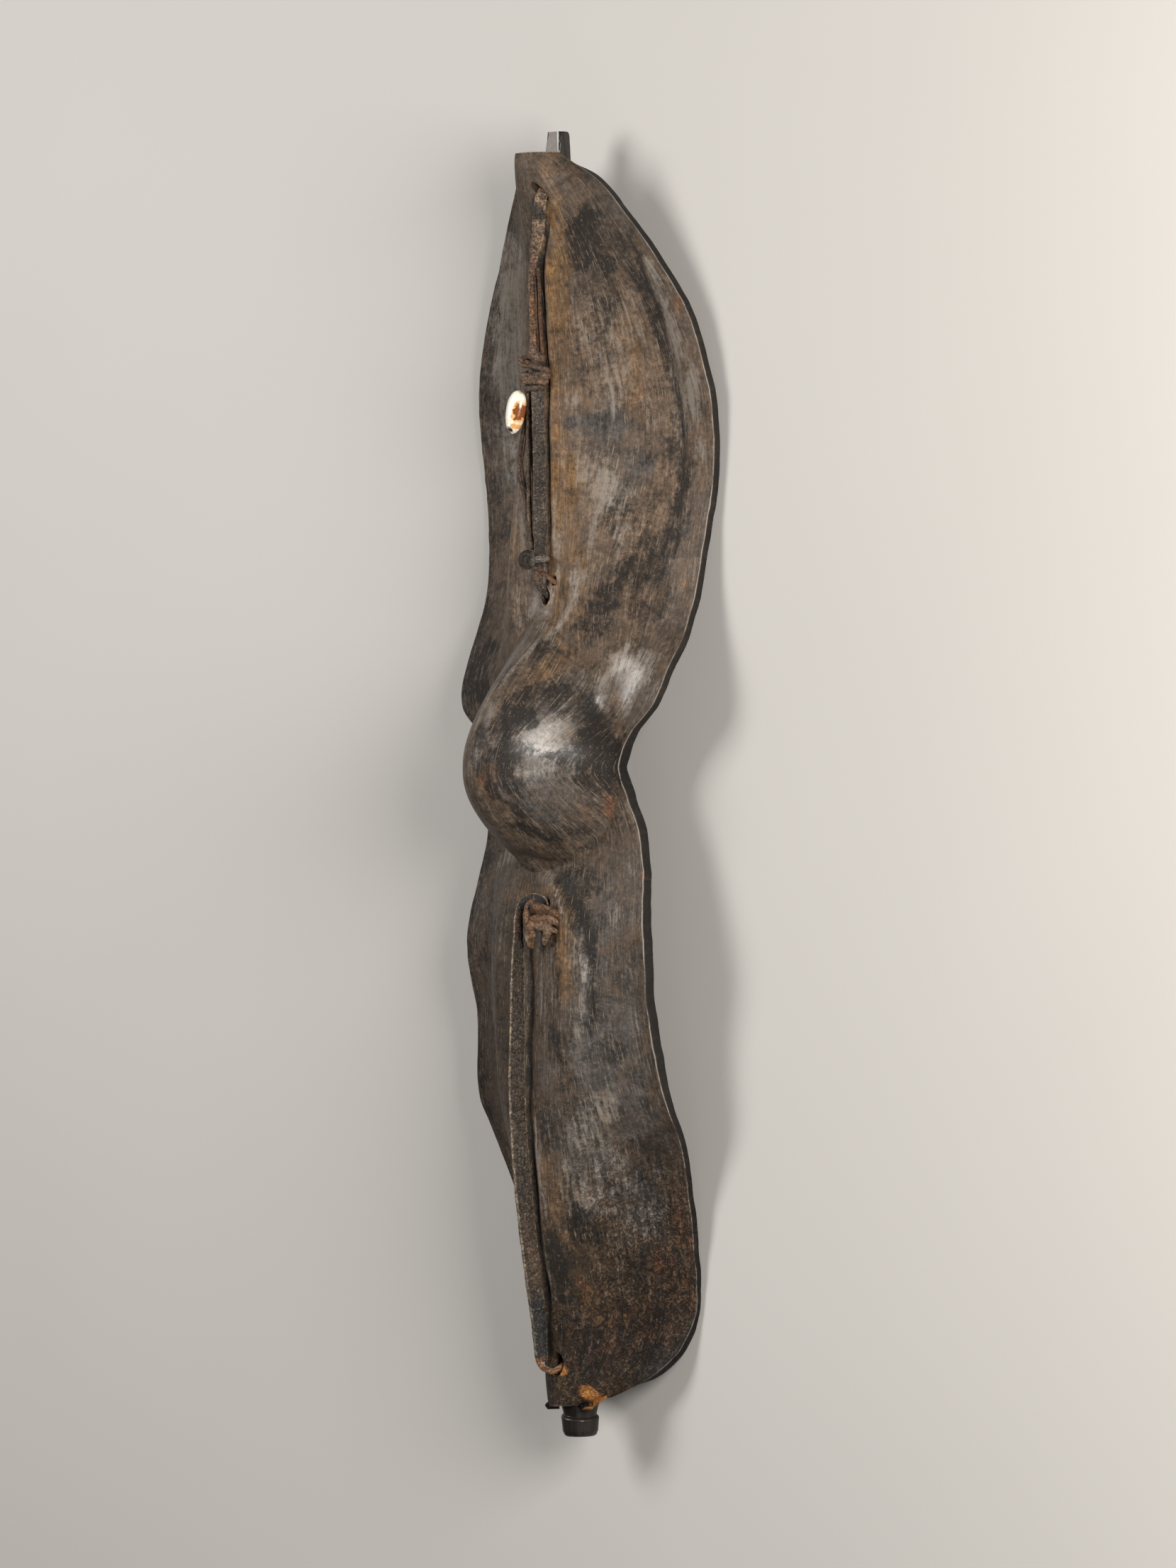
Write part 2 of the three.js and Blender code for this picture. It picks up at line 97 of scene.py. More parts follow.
# The strap holes: x, y, half sizes and turn in degrees; the last is the torn nick at the foot.
HOLES = [
    (13, 425.5, 2.3, 7.6, 31), (5, 135, 4.4, 6, 0), (14, 146, 2.6, 3.6, -30),
    (17, -86, 6, 4.6, 10), (6, -417, 5.2, 9, -12), (22.5, -449, 3.0, 8, 14),
]


# ---- numbers along a line ----
def along(pairs, y):
    """The smooth curve through [place, value] pairs that run from high to low places."""
    places, values = np.array(pairs, float).T
    y = np.clip(y, places[-1], places[0])
    last = len(places) - 1
    i = np.clip(np.searchsorted(-places, -y) - 1, 0, last - 1)
    before = np.maximum(np.arange(last + 1) - 1, 0)
    after = np.minimum(np.arange(last + 1) + 1, last)
    slope = (values[after] - values[before]) / (places[after] - places[before])
    step = places[i + 1] - places[i]
    rise = values[i + 1] - values[i]
    s = (y - places[i]) / step
    leave = slope[i] * step - rise
    arrive = rise - slope[i + 1] * step
    return values[i] + s * rise + s * (1 - s) * ((1 - s) * leave + s * arrive)


def smooth(value, low, high):
    """0 up to low, 1 from high on, and an even rise between."""
    t = np.clip((value - low) / (high - low), 0, 1)
    return t * t * (3 - 2 * t)


def spline(stations, steps):
    """Rows of numbers spread evenly on the smooth curve through the given stations."""
    p = np.array(stations, float)
    p = np.vstack([2 * p[0] - p[1], p, 2 * p[-1] - p[-2]])
    t = np.linspace(0, len(stations) - 1, steps + 1)
    i = np.minimum(t.astype(int), len(stations) - 2)
    f = (t - i)[:, None]
    a, b, c, d = p[i], p[i + 1], p[i + 2], p[i + 3]
    return 0.5 * (2 * b + (c - a) * f + (2 * a - 5 * b + 4 * c - d) * f**2 + (3 * b - a - 3 * c + d) * f**3)


def ripple(points, size, seed=0):
    """Soft noise from -1 to 1 at points in space, with lumps about size across."""
    q = np.asarray(points, float) / size + 500
    base = np.floor(q).astype(np.int64)
    f = q - base
    f = f * f * (3 - 2 * f)
    total = np.zeros(len(q))
    for corner in range(8):
        shift = np.array([corner & 1, corner >> 1 & 1, corner >> 2])
        n = ((base + shift) * np.array([73856093, 19349663, 83492791])).sum(axis=1) + seed * 7919
        n = (n ^ (n >> 13)) * 1274126177 & 0x7FFFFFFF
        n = (n ^ (n >> 11)) * 668265263 & 0x7FFFFFFF
        total += np.prod(np.where(shift, f, 1 - f), axis=1) * ((n >> 8 & 0xFFFF) / 32767.5 - 1)
    return total


def ripples(points, layers):
    """Ripples of several sizes together: how strong, how large, and which seed."""
    return sum(strength * ripple(points, size, seed) for strength, size, seed in layers)


# ---- the moulded face ----
def boss_height(x, y):
    above = y > BOSS_Y
    s = (y - BOSS_Y) / np.where(above, BOSS_ABOVE, BOSS_BELOW)
    profile = np.clip(1 - s * s, 0, None) ** np.where(above, 1.65, 1.0)
    across = x / (BOSS_HALF_WIDTH * np.sqrt(np.maximum(profile, 1e-9)))
    return BOSS_HEIGHT * profile * np.clip(1 - across**2, 0, None) ** 1.25


def face_height(x, y):
    half = along(HALF_WIDTH, y)
    rim = along(RIM_HEIGHT, y)
    breadth = along(RIDGE_BREADTH, y)
    power = along(RIDGE_SQUARENESS, y)

    def bell(r):
        return 1 / (1 + (np.abs(r) / breadth) ** power)

    share = (bell(x) - bell(half)) / (1 - bell(half))
    from_valley = (half - np.abs(x) - GUTTER_FROM_RIM) / GUTTER_WIDTH
    gutter = along(GUTTER_DEPTH, y) * np.exp(-(from_valley**2))
    return rim + (along(RIDGE_HEIGHT, y) - rim) * share - gutter + boss_height(x, y)


def face_normal(x, y, reach=1.5):
    dx = (face_height(x + reach, y) - face_height(x - reach, y)) / (2 * reach)
    dy = (face_height(x, y + reach) - face_height(x, y - reach)) / (2 * reach)
    n = np.stack([-dx, -dy, np.ones_like(dx)], axis=1)
    return n / np.linalg.norm(n, axis=1, keepdims=True)


def over(x, y, lift):
    """A point a given height over the plain moulded face."""
    return (x, y, float(face_height(np.array([x]), np.array([y]))[0]) + lift)


def over_all(route):
    return [over(*point) for point in route]


def from_line(x, y, line):
    """How far each place is from a line of points, how far along it, and whether it is to its left."""
    best = np.full(x.shape, 1e9)
    share = np.zeros(x.shape)
    left = np.zeros(x.shape, bool)
    count = len(line) - 1
    for k, ((x0, y0), (x1, y1)) in enumerate(zip(line[:-1], line[1:])):
        ex, ey = x1 - x0, y1 - y0
        t = np.clip(((x - x0) * ex + (y - y0) * ey) / (ex * ex + ey * ey), 0, 1)
        far = np.hypot(x - x0 - t * ex, y - y0 - t * ey)
        near = far < best
        best = np.where(near, far, best)
        share = np.where(near, (k + t) / count, share)
        left = np.where(near, ex * (y - y0) - ey * (x - x0) > 0, left)
    return best, share, left


# Folds pressed into the hide: line, height, reach to its left, reach to its right, in millimetres.
FOLDS = [
    # crest that runs from the boss up to the upper wing
    ([(-4, 48), (5, 72), (13, 94), (24, 111), (37, 127), (41, 150)], 4.2, 9, 24),
    # edge of the raised bed round the lower knot
    ([(-17, -60), (6, -64), (25, -75), (41, -96), (49, -120), (51, -142), (47, -175), (41, -205)],
     4.8, 4.6, 16),
    # valley between the boss and the waist
    ([(46, 62), (56, 44), (61, 28), (60, 8), (52, -16)], -2.0, 14, 12),
    # short fold that catches the light above the waist
    ([(46, 54), (60, 68), (70, 80), (86, 98)], 2.4, 17, 15),
    # sharper bottom of the upper right valley
    ([(66, 392), (74, 356), (79, 314), (87, 276), (91, 246), (90, 216), (83, 176)], -2.4, 6, 5),
    # groove along the standing strap, and the crest beside it
    ([(-3, -112), (-1.5, -150), (-0.6, -205), (0, -255), (0, -305), (-0.6, -355), (-0.6, -405)],
     -3.2, 2.8, 3.4),
    ([(7, -238), (8, -285), (8, -330), (7, -372), (7, -408)], 2.0, 3.4, 5),
    # gap along the right of the upper strap, and the shoulder beside it
    ([(15, 418), (12.5, 396), (6.5, 374), (3.5, 350), (3, 325), (4.5, 300), (5.6, 279), (5.4, 238),
      (5.4, 197), (5.4, 167), (5, 150)], -3.4, 2.4, 2.8),
    ([(20, 415), (17, 392), (11, 362), (10, 310), (11.5, 280), (11.5, 230), (12, 180), (12, 155)],
     1.8, 3.4, 7),
    # long scar near the lower right rim
    ([(59, -318), (62, -338), (67, -359)], -1.0, 2.4, 2.8),
    # soft folds drawn down the left wings
    ([(-36, 330), (-44, 240), (-38, 150), (-20, 95)], 1.6, 7, 9),
    ([(-70, 300), (-76, 210), (-66, 130)], -1.8, 9, 8),
    ([(-26, 135), (-16, 100), (-13, 74)], -1.6, 4, 4),
    ([(-32, -84), (-42, -160), (-38, -260), (-30, -350)], 1.5, 6, 8),
    ([(-62, -90), (-70, -170), (-60, -280)], -1.5, 8, 8),
    # shallow creases at the foot of the boss
    ([(-24, -52), (2, -51), (30, -58), (52, -60)], -1.8, 4, 5),
    ([(4, -40), (26, -44), (50, -44)], 1.2, 3.5, 3.5),
]


# Dents and swellings all over, and how crooked the edges of patches are: strength, size, seed
DENTS = [(0.9, 62, 1), (0.55, 27, 2), (0.22, 11, 5)]
PATCH_EDGES = [(0.34, 17, 31), (0.30, 7, 32), (0.20, 3.4, 33)]


def boss_shoulder(x, y):
    """Extra height that lets the boss run out softly towards the upper right wing."""
    s = np.clip((y - BOSS_Y) / BOSS_ABOVE, 0, 1)
    profile = (1 - s * s) ** 1.65
    across = x / (BOSS_HALF_WIDTH * (1 + 0.30 * smooth(y, 15, 60)) * np.maximum(profile, 1e-9) ** 0.42)
    softer = BOSS_HEIGHT * profile * np.clip(1 - across**2, 0, None) ** (1.25 + 0.75 * smooth(y, 5, 50))
    clear = smooth(along(HALF_WIDTH, y) - x, 3, 26)
    return np.where((x > 0) & (y > BOSS_Y), (softer - boss_height(x, y)) * clear, 0)


def in_oval(x, y, centre_x, centre_y, half_x, half_y, turn):
    """How far each place is from the middle of a turned oval: 1 on its edge."""
    c, s = math.cos(math.radians(turn)), math.sin(math.radians(turn))
    u = ((x - centre_x) * c + (y - centre_y) * s) / half_x
    v = ((y - centre_y) * c - (x - centre_x) * s) / half_y
    return np.hypot(u, v)


def hide_relief(x, y):
    """How far the worn face stands out of the plain moulded one."""
    place = np.stack([x, y, np.zeros_like(x)], axis=1)
    wander_x = x + 2.2 * ripple(place, 26, 3)
    wander_y = y + 2.2 * ripple(place, 26, 4)
    relief = ripples(place, DENTS) + boss_shoulder(x, y)
    for line, height, reach_left, reach_right in FOLDS:
        far, share, left = from_line(wander_x, wander_y, line)
        fade = smooth(share, 0, 0.14) * smooth(1 - share, 0, 0.14)
        relief += height * fade * np.exp(-((far / np.where(left, reach_left, reach_right)) ** 2))
    for hole in HOLES:
        relief += 0.9 * np.exp(-(((in_oval(x, y, *hole) - 1.15) / 0.3) ** 2))
    return relief


def row_places(share):
    """Places along Y, closer together where the outline turns in."""
    y = np.linspace(HIDE_TOP, HIDE_FOOT, 3000)
    run = np.hypot(np.gradient(y), 0.7 * np.gradient(along(HALF_WIDTH, y)))
    run = np.concatenate([[0], np.cumsum(run[1:])])
    return np.interp(share, run / run[-1], y)


# ---- mesh helpers ----
def only(piece):
    bpy.ops.object.select_all(action="DESELECT")
    piece.select_set(True)
    bpy.context.view_layer.objects.active = piece


def points_of(piece):
    co = np.empty(len(piece.data.vertices) * 3, np.float32)
    piece.data.vertices.foreach_get("co", co)
    return co.reshape(-1, 3).astype(float)


def put_points(piece, points):
    piece.data.vertices.foreach_set("co", np.asarray(points, np.float32).ravel())
    piece.data.update()


def in_place(points):
    """Shield millimetres, heights from the stave's axis, as metres in the frame."""
    return np.asarray(points, float) * MM + np.array([0, 0, AXIS_Z])


def in_shield(points):
    return (np.asarray(points, float) - np.array([0, 0, AXIS_Z])) / MM


def apply_all(piece):
    only(piece)
    for modifier in list(piece.modifiers):
        bpy.ops.object.modifier_apply(modifier=modifier.name)


def take_away(piece, cutter):
    cut = piece.modifiers.new("cut", "BOOLEAN")
    cut.object = cutter
    cut.operation = "DIFFERENCE"
    cut.solver = "MANIFOLD"


def store(piece, name, values):
    """Keeps a number, a direction or a colour for each vertex."""
    values = np.asarray(values, np.float32)
    if values.ndim == 1:
        piece.data.attributes.new(name, "FLOAT", "POINT").data.foreach_set("value", values)
    elif name.endswith("_tone"):
        rgba = np.concatenate([values, np.ones((len(values), 1), np.float32)], axis=1)
        piece.data.attributes.new(name, "FLOAT_COLOR", "POINT").data.foreach_set("color", rgba.ravel())
    else:
        piece.data.attributes.new(name, "FLOAT_VECTOR", "POINT").data.foreach_set("vector", values.ravel())


def sheet_grid(name, columns, rows):
    bpy.ops.object.select_all(action="DESELECT")
    bpy.ops.mesh.primitive_grid_add(x_subdivisions=columns, y_subdivisions=rows, size=2)
    piece = bpy.context.object
    piece.name = piece.data.name = name
    return piece


def rolled(name, sides, steps, place, closed=False, extra=None):
    """A grid rolled into a tube. place(around, along) gives shield millimetres for both in 0..1.

    A closed tube joins its own end; an open one gets a flat cap at each end.
    """
    piece = sheet_grid(name, sides, steps)
    grid = points_of(piece)
    around = (grid[:, 0] + 1) / 2
    run = (grid[:, 1] + 1) / 2
    put_points(piece, in_place(place(around, run)))
    if extra:
        for key, values in extra(around, run).items():
            store(piece, key, values)
    only(piece)
    bpy.ops.object.mode_set(mode="EDIT")
    bpy.ops.mesh.select_all(action="SELECT")
    bpy.ops.mesh.remove_doubles(threshold=0.000004)
    if not closed:
        bpy.ops.mesh.select_all(action="DESELECT")
        bpy.ops.mesh.select_mode(type="EDGE")
        bpy.ops.mesh.select_non_manifold()
        bpy.ops.mesh.fill_holes(sides=0)
    bpy.ops.mesh.select_all(action="SELECT")
    bpy.ops.mesh.normals_make_consistent(inside=False)
    bpy.ops.object.mode_set(mode="OBJECT")
    bpy.ops.object.shade_smooth_by_angle(angle=math.radians(50))
    return piece


def joined(name, pieces):
    only(pieces[0])
    for piece in pieces[1:]:
        piece.select_set(True)
    bpy.ops.object.join()
    pieces[0].name = pieces[0].data.name = name
    return pieces[0]


# ---- material helpers ----
class Finish:
    """One material and short ways to add its nodes."""

    def __init__(self, name, **surface):
        self.material = bpy.data.materials.new(name)
        self.material.use_nodes = True
        self.tree = self.material.node_tree
        self.shader = self.tree.nodes["Principled BSDF"]
        for socket, value in surface.items():
            self.shader.inputs[socket.replace("_", " ")].default_value = value
        self.here = self.add("ShaderNodeTexCoord").outputs["Object"]

    def add(self, kind, sockets=None, **settings):
        node = self.tree.nodes.new(kind)
        for key, value in settings.items():
            setattr(node, key, value)
        for socket, value in (sockets or {}).items():
            if isinstance(value, bpy.types.NodeSocket):
                self.tree.links.new(value, node.inputs[socket])
            else:
                node.inputs[socket].default_value = value
        return node

    def stored(self, name, output="Fac"):
        return self.add("ShaderNodeAttribute", attribute_name=name).outputs[output]

    def stretched(self, where, scale, turn=(0, 0, 0)):
        return self.add("ShaderNodeMapping", {"Vector": where, "Scale": scale, "Rotation": turn}).outputs[0]

    def noise(self, where, scale, detail=4.0, roughness=0.55, distortion=0.0):
        sockets = {"Vector": where, "Scale": scale, "Detail": detail, "Roughness": roughness}
        return self.add("ShaderNodeTexNoise", {**sockets, "Distortion": distortion}).outputs["Fac"]

    def spread(self, value, low, high, to_low=0.0, to_high=1.0):
        sockets = {"Value": value, "From Min": low, "From Max": high, "To Min": to_low, "To Max": to_high}
        return self.add("ShaderNodeMapRange", sockets).outputs[0]

    def sum(self, a, b, operation="ADD"):
        return self.add("ShaderNodeMath", {0: a, 1: b}, operation=operation).outputs[0]

    def times(self, a, b):
        return self.sum(a, b, "MULTIPLY")

    def mixed(self, amount, a, b):
        """Colour a where the amount is 0 and colour b where it is 1."""
        a, b = ((*colour, 1) if isinstance(colour, tuple) else colour for colour in (a, b))
        return self.add("ShaderNodeMix", {0: amount, 6: a, 7: b}, data_type="RGBA").outputs[2]

    def scaled(self, colour, amount):
        return self.add("ShaderNodeVectorMath", {0: colour, "Scale": amount}, operation="SCALE").outputs[0]

    def bumped(self, height, distance, normal=None):
        sockets = {"Height": height, "Distance": distance}
        if normal is not None:
            sockets["Normal"] = normal
        return self.add("ShaderNodeBump", sockets).outputs[0]

    def drive(self, **sockets):
        for name, value in sockets.items():
            self.tree.links.new(value, self.shader.inputs[name.replace("_", " ")])
        return self.material


# ---- camera, floor and light ----
CAMERA_LEAN = math.radians(50)  # how far the view is turned off the face, towards its right edge
CAMERA_ROLL = math.radians(0.99)
CAMERA_AWAY = 6.0
VIEW_HEIGHT = 1.130332  # how many metres the view is high at the shield
AIM_ASIDE = 0.01375  # the view's middle is this far to the right of the stave's axis
SENSOR = 36.0
FAR_CLIP = 60


def set_camera():
    right = Vector((math.cos(CAMERA_LEAN), 0, -math.sin(CAMERA_LEAN)))
    up = Vector((0, 1, 0))
    back = right.cross(up)
    turned_right = right * math.cos(CAMERA_ROLL) - up * math.sin(CAMERA_ROLL)
    turned_up = right * math.sin(CAMERA_ROLL) + up * math.cos(CAMERA_ROLL)
    aim = Vector((0, 0, AXIS_Z)) + turned_right * AIM_ASIDE
    data = bpy.data.cameras.new("camera")
    data.sensor_fit = "VERTICAL"
    data.sensor_height = SENSOR
    data.lens = SENSOR * CAMERA_AWAY / VIEW_HEIGHT
    data.clip_end = FAR_CLIP
    camera = bpy.data.objects.new("camera", data)
    bpy.context.scene.collection.objects.link(camera)
    place = Matrix((turned_right, turned_up, back)).transposed().to_4x4()
    place.translation = aim + back * CAMERA_AWAY
    camera.matrix_world = place
    bpy.context.scene.camera = camera


def soft_light(name, direction, away, size, watts, colour):
    data = bpy.data.lights.new(name, "AREA")
    data.shape = "RECTANGLE"
    data.size, data.size_y = size
    data.energy = watts
    data.color = colour
    light = bpy.data.objects.new(name, data)
    bpy.context.scene.collection.objects.link(light)
    towards = Vector(direction).normalized()
    light.location = Vector((0, 0, AXIS_Z)) + towards * away
    light.rotation_euler = towards.to_track_quat("Z", "Y").to_euler()


FLOOR_SIZE = 16
FLOOR_TONES = (0.50, 0.49, 0.475), (0.54, 0.53, 0.515)
ROOM_LIGHT = 0.07

# Name, direction from the shield, metres away, sides in metres, watts and colour
LIGHTS = [
    ("key_softbox", (0.93, 0.13, 0.37), 2.4, (0.9, 0.9), 84, (1.0, 0.95, 0.885)),
    ("side_softbox", (-0.50, 0.34, 0.80), 2.4, (1.3, 0.9), 46, (1.0, 0.97, 0.93)),
    ("low_fill", (0.55, -0.75, 0.55), 3.0, (1.5, 1.5), 6, (1.0, 0.98, 0.95)),
]


def set_stage():
    bpy.ops.object.select_all(action="DESELECT")
    bpy.ops.mesh.primitive_plane_add(size=FLOOR_SIZE)
    floor = bpy.context.object
    floor.name = "floor"
    paper = Finish("pale_floor", Roughness=0.9, Specular_IOR_Level=0.2)
    cloud = paper.noise(paper.here, 1.7, 3)
    floor.data.materials.append(paper.drive(Base_Color=paper.mixed(cloud, *FLOOR_TONES)))
    world = bpy.data.worlds.new("studio")
    world.use_nodes = True
    background = world.node_tree.nodes["Background"]
    background.inputs["Color"].default_value = (1.0, 0.98, 0.95, 1)
    background.inputs["Strength"].default_value = ROOM_LIGHT
    bpy.context.scene.world = world
    for light in LIGHTS:
        soft_light(*light)
    bpy.context.scene.view_settings.view_transform = "Standard"


# ---- colours of the hide ----
TINTS = {
    "charcoal": (0.0060, 0.0050, 0.0044),
    "slate": (0.054, 0.049, 0.046),
    "taupe": (0.076, 0.052, 0.035),
    "brown": (0.060, 0.032, 0.013),
    "ochre": (0.128, 0.067, 0.023),
    "rust": (0.120, 0.045, 0.015),
    "tan": (0.190, 0.133, 0.088),
    "pale_and_sheen_grey": (0.225, 0.195, 0.165),
    "scuff": (0.27, 0.21, 0.15),
    "arris_highlight": (0.34, 0.31, 0.28),
    "raw_deep": (0.15, 0.055, 0.012),
    "raw_bright": (0.50, 0.22, 0.065),
}

# Patches on the hide, from the top down: x, y, half across, half along, strength, and a turn in degrees.
# Grime covers the hide fully and dirt lets it show through; both lists also hold dark patches of painted
# shade. Pale patches are rubbed bare, worn ones nearly, and both also hold painted sheen and highlights.
GRIME_AND_SHADE = [
    (35, 437, 7, 8, 0.5), (36, 406, 6, 17, 0.75), (39, 398, 9, 26, 0.75, -8), (33, 391, 9, 20, 0.6),
    (33, 383, 5, 15, 0.6, -10), (50, 352, 6, 12, 0.45), (46, 259, 14, 6, 0.35), (66, 234, 8, 8, 0.35),
    (72, 205, 7, 14, 0.5, 20), (56, 196, 6, 14, 0.6, -20), (62, 190, 10, 11, 0.5), (84, 165, 12, 20, 0.45),
    (70, 162, 11, 24, 0.6, -20), (70, 150, 8, 18, 0.5), (51, 123, 11, 22, 0.78, -10), (22, 92, 10, 8, 0.6),
    (-97, 80, 21, 21, 1.0), (-100, 78, 20, 20, 0.6), (-95, 76, 16, 25, 0.85, 10),
    (17, 50, 13, 20, 0.78, -35), (8, 36, 8, 12, 0.5), (25, 34, 9, 21, 0.8), (56, 29, 7, 21, 0.95),
    (33, 24, 6, 20, 0.45), (66, 24, 12, 24, 0.6), (70, 24, 8, 22, 0.9), (6, 20, 8, 28, 0.6),
    (24, 20, 6, 22, 0.5, 6), (58, 20, 14, 24, 0.9), (14, 16, 9, 15, 0.55), (67, 14, 8, 10, 0.9),
    (23, 12, 5, 26, 0.85, 8), (22, -15, 5, 15, 0.8, 35), (23, -34, 5, 15, 0.8, 55), (31, -68, 16, 11, 0.8),
    (-71, -122, 20, 13, 0.55), (58, -126, 6, 20, 0.4), (67, -192, 8, 14, 0.65), (41, -233, 11, 20, 0.45),
    (24, -300, 8, 22, 0.6, -8), (28, -319, 13, 13, 0.75, -10), (28, -324, 8, 9, 0.5),
    (26, -330, 12, 26, 0.6), (44, -330, 10, 20, 0.4), (15, -350, 8, 34, 0.9, 5), (14, -355, 7, 16, 0.75),
]
DIRT_AND_SHADE = [
    (33, 442, 15, 14, 0.5), (34, 394, 12, 18, 0.5), (58, 384, 7, 24, 0.7, 18), (62, 384, 12, 22, 0.5, -10),
    (46, 372, 10, 22, 0.8), (64, 372, 10, 24, 0.4, -10), (66, 372, 10, 30, 0.7, 22),
    (72, 361, 9, 21, 0.85, 25), (72, 358, 9, 23, 0.5, 20), (33, 352, 6, 14, 0.5), (40, 350, 12, 50, 0.6),
    (78, 330, 8, 34, 0.7, 12), (79, 320, 9, 32, 0.85, 15), (88, 279, 8, 26, 0.65, 8),
    (92, 250, 10, 34, 0.7, 4), (100, 238, 13, 25, 0.8), (82, 226, 10, 20, 0.5), (89, 205, 10, 26, 0.5, -5),
    (96, 200, 10, 40, 0.6, -8), (76, 196, 12, 18, 0.5), (60, 186, 10, 12, 0.55), (-114, 177, 12, 56, 0.45),
    (82, 156, 13, 13, 0.5), (58, 146, 4, 8, 0.5), (63, 144, 11, 13, 0.6), (60, 130, 18, 26, 0.5),
    (92, 130, 12, 20, 0.5), (82, 124, 12, 20, 0.5), (79, 121, 12, 10, 0.4), (46, 103, 9, 8, 0.35),
    (-112, 86, 12, 22, 0.8), (20, 84, 14, 12, 0.5), (33, 66, 10, 12, 0.5, -30), (28, 62, 20, 10, 0.6, -30),
    (40, 58, 22, 10, 0.6), (44, 50, 24, 10, 0.6), (61, 31, 6, 24, 0.75, -10), (80, 20, 7, 16, 0.9),
    (22, 12, 14, 22, 0.4), (60, 2, 14, 18, 0.5), (14, -26, 16, 22, 0.5), (42, -30, 20, 8, 0.35),
    (27, -33, 8, 7, 0.5), (43, -43, 7, 11, 0.45), (40, -68, 12, 12, 0.6), (40, -71, 20, 14, 0.75),
    (34, -76, 12, 20, 0.6), (46, -84, 8, 22, 0.6), (-100, -90, 16, 60, 0.5), (56, -97, 7, 26, 0.5),
    (-61, -109, 26, 28, 0.5), (48, -120, 12, 34, 0.45), (55, -125, 6, 15, 0.4), (33, -130, 8, 60, 0.4),
    (32, -140, 7, 10, 0.4), (-64, -145, 18, 15, 0.4), (63, -155, 6, 10, 0.5), (24, -160, 14, 60, 0.5),
    (46, -171, 8, 14, 0.5), (28, -176, 10, 50, 0.4), (36, -180, 12, 40, 0.4), (60, -180, 14, 26, 0.4),
    (-80, -191, 29, 46, 0.45), (84, -215, 12, 24, 0.4), (20, -235, 10, 24, 0.5), (32, -237, 11, 23, 0.6),
    (24, -250, 12, 24, 0.5), (84, -270, 8, 40, 0.5), (50, -288, 5, 12, 0.6), (80, -293, 18, 56, 0.6, 10),
    (16, -324, 10, 26, 0.5), (10, -330, 5, 60, 0.6), (44, -355, 7, 12, 0.6), (60, -358, 22, 22, 0.6),
    (79, -365, 14, 28, 0.5), (31, -380, 18, 26, 0.5), (60, -392, 26, 22, 0.7), (84, -396, 14, 20, 0.6, 20),
    (39, -398, 38, 41, 0.75), (14, -404, 10, 30, 0.5), (48, -406, 20, 16, 0.5), (56, -410, 34, 20, 0.7),
    (50, -420, 30, 14, 0.7), (66, -424, 30, 14, 0.7, 20),
]
PALE_AND_SHEEN = [
    (-78, 350, 35, 61, 0.35), (-78, 350, 15, 42, 0.95), (-84, 330, 24, 74, 0.5),
    (96, 310, 10, 28, 0.7, 14), (-95, 299, 12, 24, 0.9), (109, 274, 10, 25, 0.8, 5), (57, 206, 12, 9, 0.3),
    (66, 82, 11, 18, 0.9, -35), (-45, -51, 23, 9, 0.6), (58, -234, 7, 15, 0.7), (52, -260, 4, 14, 0.45),
    (44, -265, 18, 36, 0.5, 15), (8, -283, 3, 40, 0.7, 2), (34, -298, 6, 12, 0.7),
]
WORN_AND_SHEEN = [
    (-60, 370, 13, 40, 0.45), (-56, 366, 12, 30, 0.5), (83, 361, 6, 21, 0.6, 22), (-64, 360, 16, 34, 0.5),
    (84, 360, 8, 24, 0.6, 20), (60, 352, 5, 20, 0.4, 12), (49, 325, 16, 43, 0.4, 15),
    (-95, 300, 9, 40, 0.4), (51, 284, 10, 14, 0.4), (96, 280, 14, 50, 0.6, 5), (112, 280, 8, 40, 0.55),
    (30, 274, 10, 7, 0.5), (110, 274, 8, 40, 0.5, 4), (-98, 250, 18, 30, 0.5), (-100, 243, 7, 13, 0.7),
    (-60, 240, 24, 70, 0.4), (34, 233, 4, 25, 0.5), (114, 233, 6, 25, 0.5), (-22, 230, 8, 70, 0.5),
    (46, 218, 5, 19, 0.4), (45, 208, 6, 22, 0.5), (46, 205, 12, 30, 0.5, 20), (-27, 197, 12, 13, 0.4),
    (-34, 196, 16, 60, 0.4), (44, 182, 7, 26, 0.6), (17, 177, 8, 25, 0.45), (-21, 156, 8, 8, 0.4),
    (34, 146, 7, 19, 0.5), (27, 123, 10, 11, 0.45, 30), (10, 113, 10, 5, 0.4, 30), (14, 104, 10, 10, 0.35),
    (85, 90, 14, 7, 0.6), (92, 88, 12, 14, 0.6, -20), (98, 88, 10, 14, 0.5, -20),
    (91, 75, 19, 11, 0.4, -35), (77, 54, 9, 8, 0.5), (71, -22, 9, 12, 0.5), (2, -56, 10, 5, 0.5),
    (71, -94, 5, 9, 0.4), (86, -138, 6, 6, 0.4), (19, -143, 20, 41, 0.3), (84, -176, 4, 25, 0.4),
    (46, -229, 5, 6, 0.4), (80, -280, 7, 7, 0.4), (34, -290, 16, 22, 0.5, 10), (66, -311, 7, 9, 0.5),
    (54, -322, 18, 16, 0.4),
]

# The same patches in layers, with how thick each layer is
SOILED_AND_SHADED_LAYERS = [(1.0, GRIME_AND_SHADE), (0.55, DIRT_AND_SHADE)]
BARED_AND_SHEEN_LAYERS = [(1.0, PALE_AND_SHEEN), (0.9, WORN_AND_SHEEN)]

